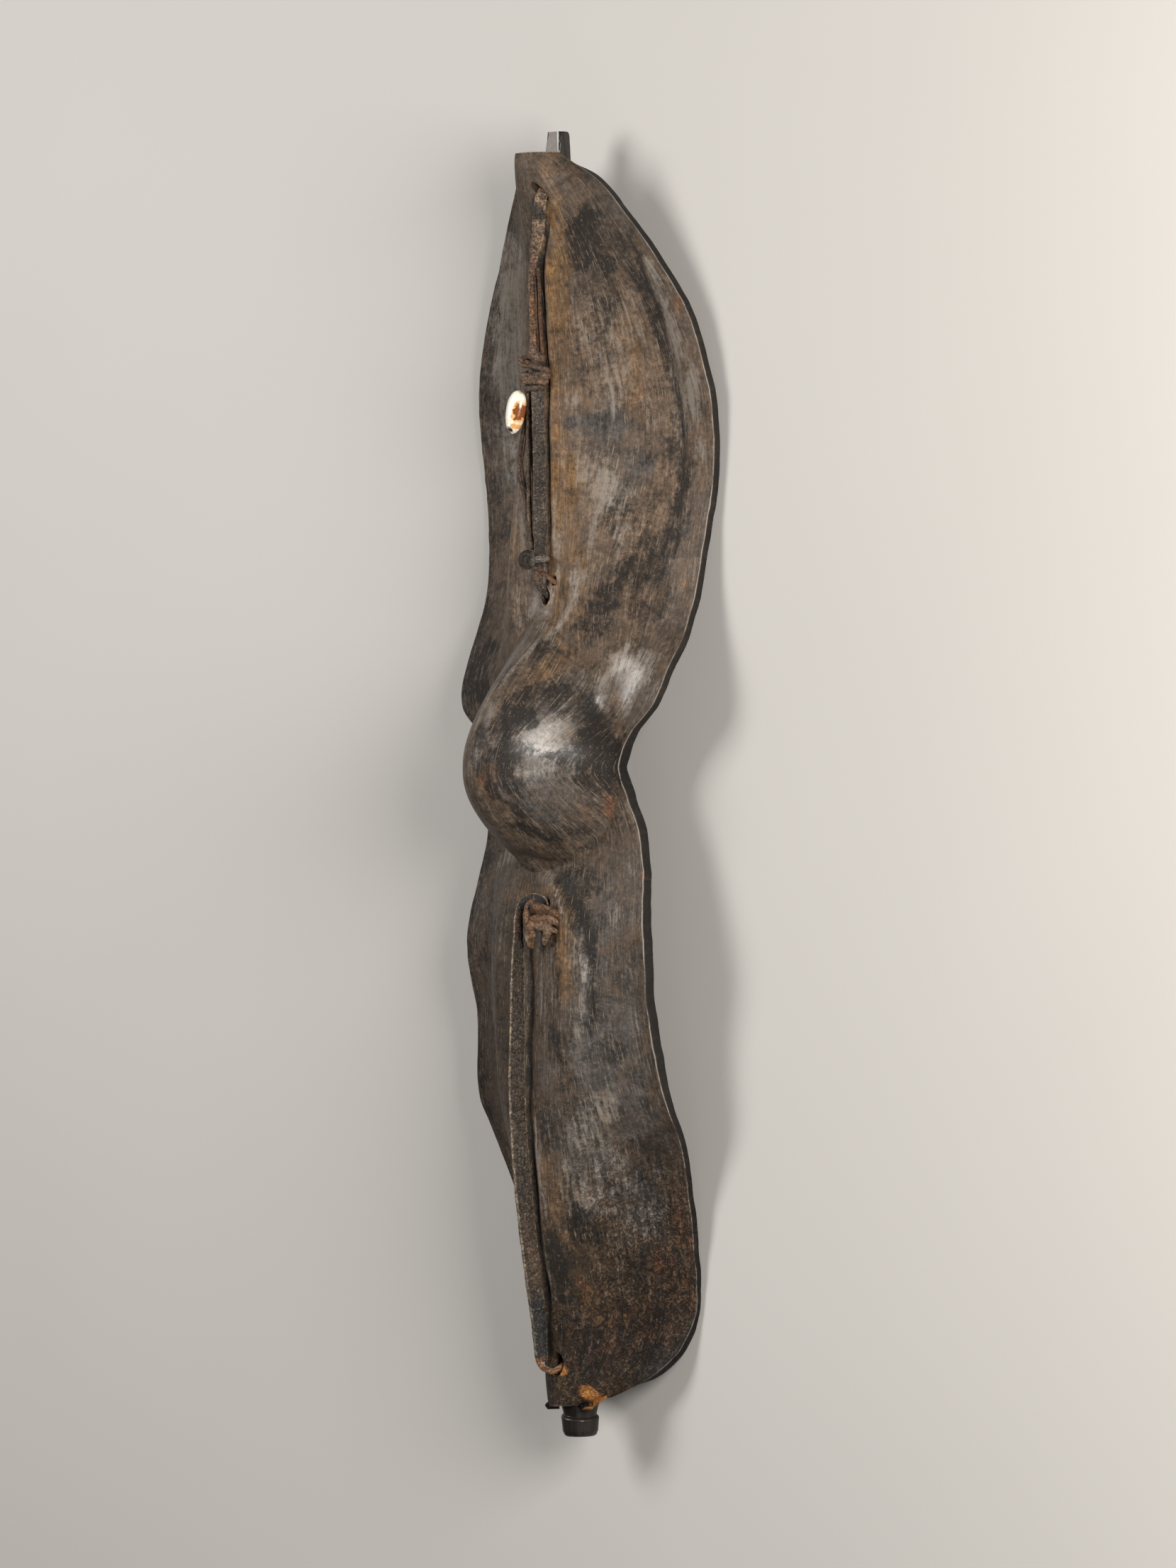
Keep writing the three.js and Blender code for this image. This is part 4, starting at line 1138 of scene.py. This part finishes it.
def leather_finish(name, key, pores=0.5, rough=(0.5, 0.75), fibres=0.5):
    skin = Finish(name, Specular_IOR_Level=0.35)
    flow = skin.stored("flow", "Vector")
    cloudy = skin.noise(skin.here, 150, 7, 0.75, 0.5)
    streak = skin.noise(skin.stretched(flow, (900, 75, 900)), 1.0, 5, 0.7)
    speckle = skin.noise(skin.here, 520, 4, 0.7)
    clouds = skin.spread(cloudy, 0.35, 0.65, 0.35, 1.65)
    shade = skin.times(clouds, skin.spread(streak, 0.35, 0.65, 0.6, 1.4))
    shade = skin.times(shade, skin.spread(speckle, 0.36, 0.64, 0.5, 1.6))
    colour = skin.scaled(skin.stored(key, "Color"), shade)
    pore = skin.spread(skin.noise(skin.here, 620, 3, 0.6), 0.50, 0.60)
    colour = skin.mixed(skin.times(pore, pores), colour, PORE_DARK)
    glint = skin.spread(skin.noise(skin.here, 700, 2, 0.5), 0.62, 0.70)
    colour = skin.mixed(skin.times(glint, 0.6 * pores), colour, FIBRE_GLINT)
    normal = skin.bumped(skin.times(pore, -1), 0.0005)
    normal = skin.bumped(streak, 0.0006 * fibres, normal)
    normal = skin.bumped(cloudy, 0.0012, normal)
    roughness = skin.spread(cloudy, 0.3, 0.7, *rough)
    return skin.drive(Base_Color=colour, Roughness=roughness, Normal=normal)


def at(x, y, lift, width, thickness, lean):
    """A station of a strap that lies over the hide."""
    return (*over(x, y, lift), width, thickness, lean)


def make_upper_strap(finish):
    face = strap_piece("upper_strap_face", [
        at(13, 428, -5, 8, 3, 40), at(13.4, 420, 1.5, 8.8, 3, 46), at(12.4, 408, 4.0, 9.4, 3, 48),
        at(9.6, 394, 4.4, 9.2, 3, 50), at(3.5, 380, 4.4, 6.4, 2.6, 58), at(-2.4, 364, 4.0, 4.4, 2.2, 66),
        at(-3.8, 335, 4.2, 4.0, 2.2, 62), at(-1.5, 316, 6.4, 5.4, 2.6, 48), at(1.0, 303, 8.2, 7.4, 3, 45),
        at(1.6, 292, 8.2, 8.6, 3, 46), at(1.8, 276, 6.2, 9.4, 3, 48), at(1.8, 230, 5.6, 9.4, 3, 50),
        at(2.4, 200, 5.6, 9.6, 3, 50), at(4.2, 176, 6.4, 9.2, 3, 50), at(5, 160, 7.2, 8.0, 3, 48),
        at(2.0, 149, 5.6, 6.8, 3, 44), at(2.6, 141.6, 3.2, 5.6, 3, 36), at(4.8, 135, -4, 5, 3, 30),
    ], 380, wear=0.26)
    legs = [
        thong_piece("top_leg", [over(13, 427, -3), over(11, 422, -9), (6, 421, stave_radius(421))], 5, 4),
        thong_piece("low_leg", [
            over(5, 136, 0), over(5, 135, -5), (4, 134, stave_radius(134) + 1.2),
        ], 4.4, 4),
    ]
    rings = [ring_piece("top_ring", 421), ring_piece("low_ring", 134)]
    piece = joined("upper_strap_leather", [face, *legs, *rings])
    # The tan band at 418 to 424 is a painted highlight on the rolled top, and the dark band at 406 to 411
    # is painted shade in a break of the strap.
    tone_along(piece, "strap_tone", [
        (430, PINK_BROWN), (424, DRY_TAN), (418, DRY_TAN), (411, DARK_STRAP), (406, DARK_STRAP),
        (400, DRY_TAN), (384, DRY_TAN), (374, PINK_BROWN), (366, PINK_BROWN), (340, ORANGE_HIDE),
        (316, PINK_BROWN), (304, PINK_BROWN), (294, DARK_STRAP), (284, DARK_STRAP), (278, POROUS_GREY),
        (215, DARK_STRAP), (195, POROUS_GREY), (175, DARK_STRAP), (160, DARK_STRAP), (150, PINK_BROWN),
        (140, DARK_STRAP),
    ], warm=DRY_TAN)
    coat(piece, finish)
    return piece


def make_lower_strap(finish):
    face = strap_piece("lower_strap_face", [
        at(18, -86.5, -8, 6, 2.6, -60), at(16, -84.5, 1, 7, 2.6, -40), at(9, -82, 5.6, 8, 2.6, 10),
        at(1, -83, 6.8, 8, 2.6, 30), at(-5, -88, 7, 7.6, 2.6, 60), at(-7, -97, 7, 7.4, 2.4, 78),
        at(-6.6, -108, 7, 8, 2.2, 84), at(-5.4, -125, 7.6, 10.4, 2.2, 84), at(-3.8, -172, 8, 12.8, 2.3, 83),
        at(-3.2, -225, 8, 13.4, 2.8, 81), at(-3.5, -284, 8, 13.5, 3.8, 78),
        at(-3.6, -340, 7.6, 12.8, 4.6, 78), at(-3.2, -385, 7, 11.6, 4.6, 78),
        at(-3.0, -404, 6.4, 10, 4.2, 76), at(-2.6, -415, 5.6, 7.4, 3.6, 66),
    ], 420, wear=0.30)
    tail = thong_piece("foot_tail", over_all([
        (-5.4, -402, 9.0), (-4.6, -411, 8.4), (-2.6, -417.5, 6.6), (1.6, -420.5, 4.4),
        (5.4, -421.5, 1.5), (6.5, -418, -5),
    ]), (2.6, 3.6, 4.2, 4.4, 4.2, 4.0), steps=90)
    legs = [
        thong_piece("head_leg", [over(17, -86, -7), (12, -87, 20), (8, -88, 11.5)], 4.6, 3.6),
        thong_piece("foot_leg", [over(6.3, -418, -4), (5, -417, stave_radius(-417) + 1)], 4.6, 3.6),
    ]
    rings = [ring_piece("head_ring", -88), ring_piece("foot_ring", -417)]
    piece = joined("lower_strap_leather", [face, tail, *legs, *rings])
    # The near-black grey near both ends is painted shade, where the strap's face lies in shadow under the
    # lower knot and going into the hole at its foot.
    tone_along(piece, "strap_tone", [
        (-80, DARK_STRAP), (-86, STRAP_SHADE_GREY), (-94, PINK_BROWN), (-108, HIDE_BROWN), (-150, HIDE_BROWN),
        (-180, POROUS_GREY), (-230, HIDE_BROWN), (-262, POROUS_GREY), (-292, HIDE_BROWN), (-330, DRY_FACE),
        (-356, DRY_FACE), (-374, STRAP_SHADE_GREY), (-412.5, STRAP_SHADE_GREY), (-415, RAW_ORANGE),
        (-430, BRIGHT_ORANGE),
    ], warm=CUT_EDGE, deep=0.72)
    coat(piece, finish)
    return piece


KNOT_CENTRE = over(1, 298, 8.6)
BINDING_CENTRE = tuple(np.array(over(4.4, 161, 7.2)) + np.array([-1, 0, 1]))


def make_upper_knot(finish):
    parts = [
        wrap_piece("broad_wrap", beside(KNOT_CENTRE, 0.8, -4.2, 0.4), 9.6, 5.6, 0.9, 7.0, 3.4, bow=-1.0),
        wrap_piece("low_wrap", beside(KNOT_CENTRE, 0.4, -8.0, -0.4), 9.0, 5.0, -0.6, 4.2, 2.8, bow=-0.8),
        wrap_piece("cross_wrap", beside(KNOT_CENTRE, 1.0, 3.4, 0.6), 9.4, 6.6, -3.4, 5.0, 4.0, bow=-1.2),
        wrap_piece("collar_wrap", beside(KNOT_CENTRE, -0.2, -13.0, -2.6), 6.8, 3.4, 0.3, 5.2, 1.8),
    ]
    curl = curled(KNOT_CENTRE, (-4.6, 6.0, 6.8), (4.4, 3.3, -1.4), (-1.0, 5.4))
    curl.append(beside(KNOT_CENTRE, 5.6, 1.6, 6.6))
    parts.append(thong_piece("curled_end", curl, 3.0, 3.8, hint=tuple(OUTWARD), steps=90))
    piece = joined("upper_knot_thong", parts)
    tone_along(piece, "thong_tone", [
        (312, DARK_STRAP), (306, PINK_BROWN), (301, HIDE_BROWN), (298, DARK_STRAP), (294, DRY_TAN),
        (289, PINK_BROWN), (286, DARK_STRAP), (280, DARK_STRAP),
    ], warm=PINK_BROWN)
    coat(piece, finish)
    return piece


def make_lower_binding(finish):
    curl = curled(BINDING_CENTRE, (-7.4, 0.5, 2.6), (4.2, 4.8, 1.5), (0.3, 6.2))
    tail = over_all([
        (1, 158, 8.0), (3.6, 154.5, 6.6), (8, 151, 4.4), (12.4, 147.6, 2.6),
        (15.6, 145, 0.8), (16.4, 143.6, -3),
    ])
    parts = [
        wrap_piece("grey_wrap", beside(BINDING_CENTRE, 0.6, 0.4, 0), 7.2, 4.9, 0.9, 5.0, 2.8),
        thong_piece("dark_curl", curl, 2.8, 5.0, hint=tuple(ACROSS)),
        thong_piece("orange_tail", tail, 3.6, 2.8),
    ]
    piece = joined("lower_binding_thong", parts)
    points = in_shield(points_of(piece))
    side = (points - np.array(BINDING_CENTRE)) @ ACROSS
    amount = smooth(side, -5, -1)[:, None]
    tail_share = smooth(-points[:, 1], -157, -153)[:, None]
    tone = np.array(DARK_STRAP) * 0.6 * (1 - amount) + np.array(GREY_WRAP) * amount
    store(piece, "thong_tone", tone * (1 - tail_share) + np.array(ORANGE_HIDE) * 0.8 * tail_share)
    coat(piece, finish)
    return piece


def make_lower_knot(finish):
    parts = []
    turns = [(-90.2, 9.6, 1.0, 1.4), (-97.2, 9.4, -0.2, 0.4), (-102.4, 5.2, 0.8, 0.4)]
    for n, (y, width, slant, bulge) in enumerate(turns):
        parts.append(thong_piece(f"strand_{n}", over_all([
            (6.4, y - 1.6, 2.8), (8.6, y - 0.4, 7.0), (14.5, y + slant, 8.4 + bulge),
            (22, y + 0.4 * slant, 8.6 + bulge), (28.6, y - 0.6 - slant, 6.6),
            (32.0 - n, y - 3.4, 1.2),
        ]), (3.4, 6.0, width, width, 0.8 * width, 3.2), (3.4, 4.6, 5.6, 5.8, 4.6, 3.0), wear=0.3))
    parts += [
        thong_piece("left_fold", over_all([
            (7.5, -81.5, 4.0), (5.0, -86, 8.6), (4.6, -94, 9.8), (6.4, -101, 9.4),
            (9, -105, 7.4),
        ]), (3.4, 4.8, 5.4, 5.0, 4.0), 4.6, hint=tuple(OUTWARD), wear=0.35),
        thong_piece("left_tail", over_all([
            (12.5, -97, 9.4), (10.4, -103, 9.4), (8.2, -109, 8.2), (7.8, -114, 7.0),
            (7.6, -118, 6.2),
        ]), (6.0, 8.2, 7.4, 4.8, 5.6), steps=90, wear=0.4),
        thong_piece("right_tail", over_all([
            (28, -100, 7.0), (26, -105, 6.8), (22.5, -110.5, 5.8), (19.4, -115, 3.8),
        ]), (5.4, 6.2, 4.8, 2.6), wear=0.35),
    ]
    piece = joined("lower_knot_thong", parts)
    points = in_shield(points_of(piece))
    x, y, _ = points.T[:, :, None]
    blotch = (0.5 + 0.5 * ripple(points, 5, 61))[:, None]
    tone = np.array(ORANGE_HIDE) * blotch + np.array(PINK_BROWN) * (1 - blotch)
    pale = 0.6 * smooth(-y, 94, 99) * smooth(x, 10, 15)
    tone = tone * (1 - pale) + np.array(DRY_TAN) * 1.3 * pale
    # A painted highlight near the end of the left tail.
    tail_highlight = 0.8 * smooth(-x, -9.5, -7.0) * smooth(-y, 103, 106) * smooth(y, -116, -112)
    store(piece, "thong_tone", tone * (1 - tail_highlight) + np.array(TAIL_HIGHLIGHT_GREY) * tail_highlight)
    coat(piece, finish)
    return piece


def make_thongs(finish):
    """The four thin thongs, each a piece of its own."""
    def upright(x, start, end):
        return [over(x + 0.5 * math.sin(1.3 * i), start + (end - start) * i / 6, 1.9) for i in range(7)]

    pieces = {
        "upper_thong_left": (DEEP_ORANGE, thong_piece(
            "slim_thong_left", upright(-0.8, 366, 311), 2.6, steps=90,
        )),
        "upper_thong_right": (DEEP_ORANGE, thong_piece(
            "slim_thong_right", upright(3.2, 372, 309), 2.8, steps=90,
        )),
        "side_thong": (DRY_TAN, thong_piece("side_thong_leather", over_all([
            (-9.6, 284, 5.0), (-12, 270, 3.8), (-13.4, 245, 3.2), (-13.2, 225, 3.2),
            (-12.2, 200, 3.4), (-9.4, 180, 4.2), (-6, 169, 4.4),
        ]), 3.4, 3.0, steps=180, wear=0.3)),
        "cowrie_thong": (PINK_BROWN, thong_piece("shell_thong", over_all([
            (-14, 290, 3), (-16, 281, 1.8), (-18, 268, 1.6), (-20, 257, 2.6),
            (-24.2, 244, 3.0), (-27.0, 234, 2.6), (-26.2, 224, 2.8), (-21, 213, 2.8),
            (-17.0, 204, 2.8), (-16.0, 194, 2.2),
        ]), 3.2, 2.4, steps=180, wear=0.2)),
    }
    for node, (colour, piece) in pieces.items():
        points = in_shield(points_of(piece))
        blotch = (0.5 + 0.5 * ripple(points, 7, 62))[:, None]
        store(piece, "thong_tone", np.array(colour) * blotch + 0.55 * np.array(colour) * (1 - blotch))
        coat(piece, finish)
        settle(piece, node)


# ---- the cowrie shell ----
COWRIE_LENGTH, COWRIE_WIDTH, COWRIE_HEIGHT = 32, 15.5, 12.5
COWRIE_X, COWRIE_Y, COWRIE_TURN, COWRIE_TIP = -20.0, 268.6, -13, 16
COWRIE_GAP = 3.6  # between the middle of its belly and the face
COWRIE_CENTRE = over(COWRIE_X, COWRIE_Y, COWRIE_HEIGHT / 2 + COWRIE_GAP)
SHELL_CREAM, SHELL_SHADE = (0.90, 0.86, 0.76), (0.80, 0.72, 0.58)
SHELL_AMBER = (0.66, 0.34, 0.11)
SHELL_BROWN = (0.20, 0.062, 0.018)
SHELL_HOLLOW_SHADE = (0.035, 0.018, 0.010)


def shell_finish():
    gloss = {"Roughness": 0.14, "Coat_Weight": 0.6, "Coat_Roughness": 0.06, "Subsurface_Weight": 0.08}
    glaze = Finish("cowrie_glaze", **gloss)
    clouds = glaze.noise(glaze.here, 420, 5, 0.7)
    cream = glaze.mixed(glaze.spread(clouds, 0.35, 0.65), SHELL_CREAM, SHELL_SHADE)
    colour = glaze.mixed(glaze.stored("amber"), cream, SHELL_AMBER)
    blotch = glaze.sum(glaze.stored("blotched"), glaze.spread(clouds, 0.35, 0.65, -0.45, 0.45))
    colour = glaze.mixed(glaze.spread(blotch, 0.35, 0.6), colour, SHELL_BROWN)
    # The shell's hollow is darkened as painted shade.
    colour = glaze.mixed(glaze.stored("hollow_shade"), colour, SHELL_HOLLOW_SHADE)
    return glaze.drive(Base_Color=colour, Normal=glaze.bumped(clouds, 0.0002))


def make_cowrie():
    def place(around, run):
        s = -np.cos(np.pi * run)
        a = 2 * np.pi * around
        belly = np.clip(1 - np.abs(s) ** 2.5, 0, None) ** 0.55 * (1 + 0.10 * s)
        flat = np.where(np.sin(a) < 0, 0.72, 1.0)
        x = COWRIE_WIDTH / 2 * belly * np.cos(a)
        z = COWRIE_HEIGHT / 2 * belly * flat * np.sin(a)
        y = COWRIE_LENGTH / 2 * s
        # The toothed slit underneath, and the open canal with its lip at the low end
        mouth = np.exp(-((x / 1.3) ** 2)) * (z < 0) * smooth(1 - np.abs(s), 0.02, 0.2)
        teeth = 0.35 * np.cos(y * 3.6) * np.exp(-(((np.abs(x) - 2.2) / 1.3) ** 2)) * (z < 0)
        hollow_x, hollow_y = x + 1.0, y + COWRIE_LENGTH * 0.425
        canal = np.exp(-((hollow_x / 2.2) ** 2 + (hollow_y / 1.9) ** 2)) * (z > -1)
        lip = np.exp(-(((np.hypot(hollow_x / 1.25, hollow_y) - 2.9) / 1.0) ** 2)) * (z > -1)
        z = z + 2.4 * mouth + teeth - 3.6 * canal + 0.7 * lip
        t, p = math.radians(COWRIE_TURN), math.radians(COWRIE_TIP)
        x, y = x * math.cos(t) - y * math.sin(t), x * math.sin(t) + y * math.cos(t)
        x, z = x * math.cos(p) + z * math.sin(p), z * math.cos(p) - x * math.sin(p)
        return np.stack([x, y, z], axis=1) + np.array(COWRIE_CENTRE)

    piece = rolled("cowrie_shell", 72, 120, place)
    points = in_shield(points_of(piece))
    x, y, z = (points - np.array(COWRIE_CENTRE)).T
    t = math.radians(COWRIE_TURN)
    along_shell = y * math.cos(t) - x * math.sin(t)
    aside = x * math.cos(t) + y * math.sin(t)
    # Painted shade in the hollow at its low end, the brown patch on its right and the amber round both
    dark = np.exp(-(((aside + 1.6) / 2.4) ** 2 + ((along_shell + 13.4) / 1.7) ** 2)) * (z > 0)
    store(piece, "hollow_shade", np.clip(1.3 * dark, 0, 1))
    wander = ripples(points, [(1.6, 3.2, 81), (0.9, 1.5, 82)])
    patch_far = np.hypot((aside - 6.0 + wander) / 3.4, (along_shell - 1.0) / 7.0)
    amber_far = np.hypot((aside - 4.6 + wander) / 3.2, (along_shell + 9.5) / 2.4)
    store(piece, "blotched", np.clip(1 - smooth(patch_far, 0.75, 1.0), 0, 1))
    store(piece, "amber", np.clip(1 - smooth(np.minimum(patch_far * 0.8, amber_far), 0.7, 1.15), 0, 1))
    coat(piece, shell_finish())
    return piece


# ---- the stave ----
FOOT_RADIUS = 13.8

# The stepped foot: how far from its end, and share of the foot's radius. The top end: how far, and radius.
FOOT_STEPS = [(0, 0.72), (1, 0.84), (4, 0.93), (11.5, 0.98), (13.6, 1.0), (14.6, 0.97), (16, 0.87)]
TOP_STEPS = [(24, 9.2), (3, 8.7), (1, 8.2), (0, 7.3)]

# Flats cut on the top end: the way each faces, and its distance from the axis where it starts and ends
TOP_FLATS = [(1.35, 8.3, 5.4), (2.6, 8.4, 6.4), (-0.4, 8.6, 7.0)]
TOP_FLAT_LENGTH = 22
FORK_LENGTH = 19
FORK_GAP_OUTER, FORK_GAP_INNER = 1.3, 0.5
FORK_TURN = 50
WOOD_DARK, WOOD_LIGHT = (0.0045, 0.0036, 0.0030), (0.015, 0.0105, 0.0078)
WOOD_FLECK = (0.06, 0.05, 0.042)
WOOD_PARED = (0.105, 0.078, 0.054)


def wood_finish():
    wood = Finish("handled_wood", Specular_IOR_Level=0.22, Coat_Weight=0.30, Coat_Roughness=0.14)
    flow = wood.stored("flow", "Vector")
    grain = wood.noise(wood.stretched(flow, (600, 30, 600)), 1.0, 5, 0.65, 0.6)
    fleck = wood.noise(wood.here, 800, 3, 0.6)
    colour = wood.mixed(wood.spread(grain, 0.3, 0.7), WOOD_DARK, WOOD_LIGHT)
    colour = wood.mixed(wood.spread(fleck, 0.64, 0.76, 0, 0.35), colour, WOOD_FLECK)
    raw = wood.times(wood.stored("pared"), wood.spread(wood.noise(wood.here, 260, 4), 0.3, 0.55, 0.35, 1))
    colour = wood.mixed(wood.times(raw, 0.75), colour, WOOD_PARED)
    normal = wood.bumped(grain, 0.0006)
    normal = wood.bumped(fleck, 0.0003, normal)
    rough = wood.spread(grain, 0.3, 0.7, 0.45, 0.65)
    return wood.drive(Base_Color=colour, Roughness=rough, Normal=normal)


def fork_wedge():
    """The narrow wedge that splits the top end of the stave."""
    bpy.ops.object.select_all(action="DESELECT")
    bpy.ops.mesh.primitive_cube_add(size=1)
    wedge = bpy.context.object
    x, y, z = points_of(wedge).T
    x = np.sign(x) * np.where(y > 0, FORK_GAP_OUTER, FORK_GAP_INNER) / 2
    y = np.where(y > 0, STAVE_HALF + 1, STAVE_HALF - FORK_LENGTH)
    z = np.sign(z) * 20
    c, s = math.cos(math.radians(FORK_TURN)), math.sin(math.radians(FORK_TURN))
    put_points(wedge, in_place(np.stack([x * c + z * s, y, z * c - x * s], axis=1)))
    return wedge


def make_stave():
    half = STAVE_HALF
    profile = [(-half + up, share * FOOT_RADIUS) for up, share in FOOT_STEPS]
    profile.append((-half + 23, stave_radius(-half + 22)))
    profile += [(half - down, radius) for down, radius in TOP_STEPS]

    def down_stave(run):
        """Rows closer together at both ends."""
        return np.interp(run, [0, 0.25, 0.75, 1], [-half, -half + 32, half - 32, half])

    def place(around, run):
        a = 2 * np.pi * around
        y = down_stave(run)
        tilt = 2.0 * np.cos(a - 0.5) * smooth(-half + 30 - y, 0, 8) * smooth(y + half, 3, 10)
        r = np.interp(y + tilt, [p[0] for p in profile], [p[1] for p in profile])
        shape = np.stack([np.cos(a) * 9, y * 0.12, np.sin(a) * 9], axis=1)
        r = r + 0.28 * ripple(shape, 7, 71) + 0.14 * ripple(shape, 3, 72) + 0.10 * np.cos(7 * a)
        for turn, start, end in TOP_FLATS:
            plane = np.interp(y, [half - TOP_FLAT_LENGTH, half], [start, end])
            facing = np.cos(a - turn)
            cut = plane / np.maximum(facing, 0.2)
            r = np.where((facing > 0.2) & (y > half - TOP_FLAT_LENGTH), np.minimum(r, cut), r)
        return np.stack([r * np.cos(a), y, r * np.sin(a)], axis=1)

    def extra(around, run):
        a = 2 * np.pi * around
        y = down_stave(run)
        pared = smooth(np.cos(a - TOP_FLATS[0][0]), 0.75, 0.9) * smooth(y, half - 19, half - 15)
        return {"pared": pared, "flow": np.stack([9 * np.cos(a), y, 9 * np.sin(a)], axis=1) * MM}

    piece = rolled("stave_wood", 56, 320, place, extra=extra)
    wedge = fork_wedge()
    take_away(piece, wedge)
    soften = piece.modifiers.new("soften", "BEVEL")
    soften.width = 0.5 * MM
    soften.segments = 2
    soften.limit_method = "ANGLE"
    soften.angle_limit = math.radians(50)
    apply_all(piece)
    bpy.data.objects.remove(wedge)
    bpy.ops.object.shade_smooth_by_angle(angle=math.radians(45))
    coat(piece, wood_finish())
    return piece


def settle(piece, node):
    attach(piece, "root")
    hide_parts(node)


set_camera()
set_stage()
strap_finish = leather_finish("dry_strap", "strap_tone", pores=0.55)
thong_finish = leather_finish("dry_thong", "thong_tone", pores=0.3, rough=(0.45, 0.75), fibres=1.2)
settle(make_hide(), "hide")
settle(make_stave(), "stave")
settle(make_upper_strap(strap_finish), "upper_strap")
settle(make_lower_strap(strap_finish), "lower_strap")
settle(make_upper_knot(thong_finish), "upper_knot")
settle(make_lower_binding(thong_finish), "lower_binding")
settle(make_lower_knot(thong_finish), "lower_knot")
make_thongs(thong_finish)
settle(make_cowrie(), "cowrie")
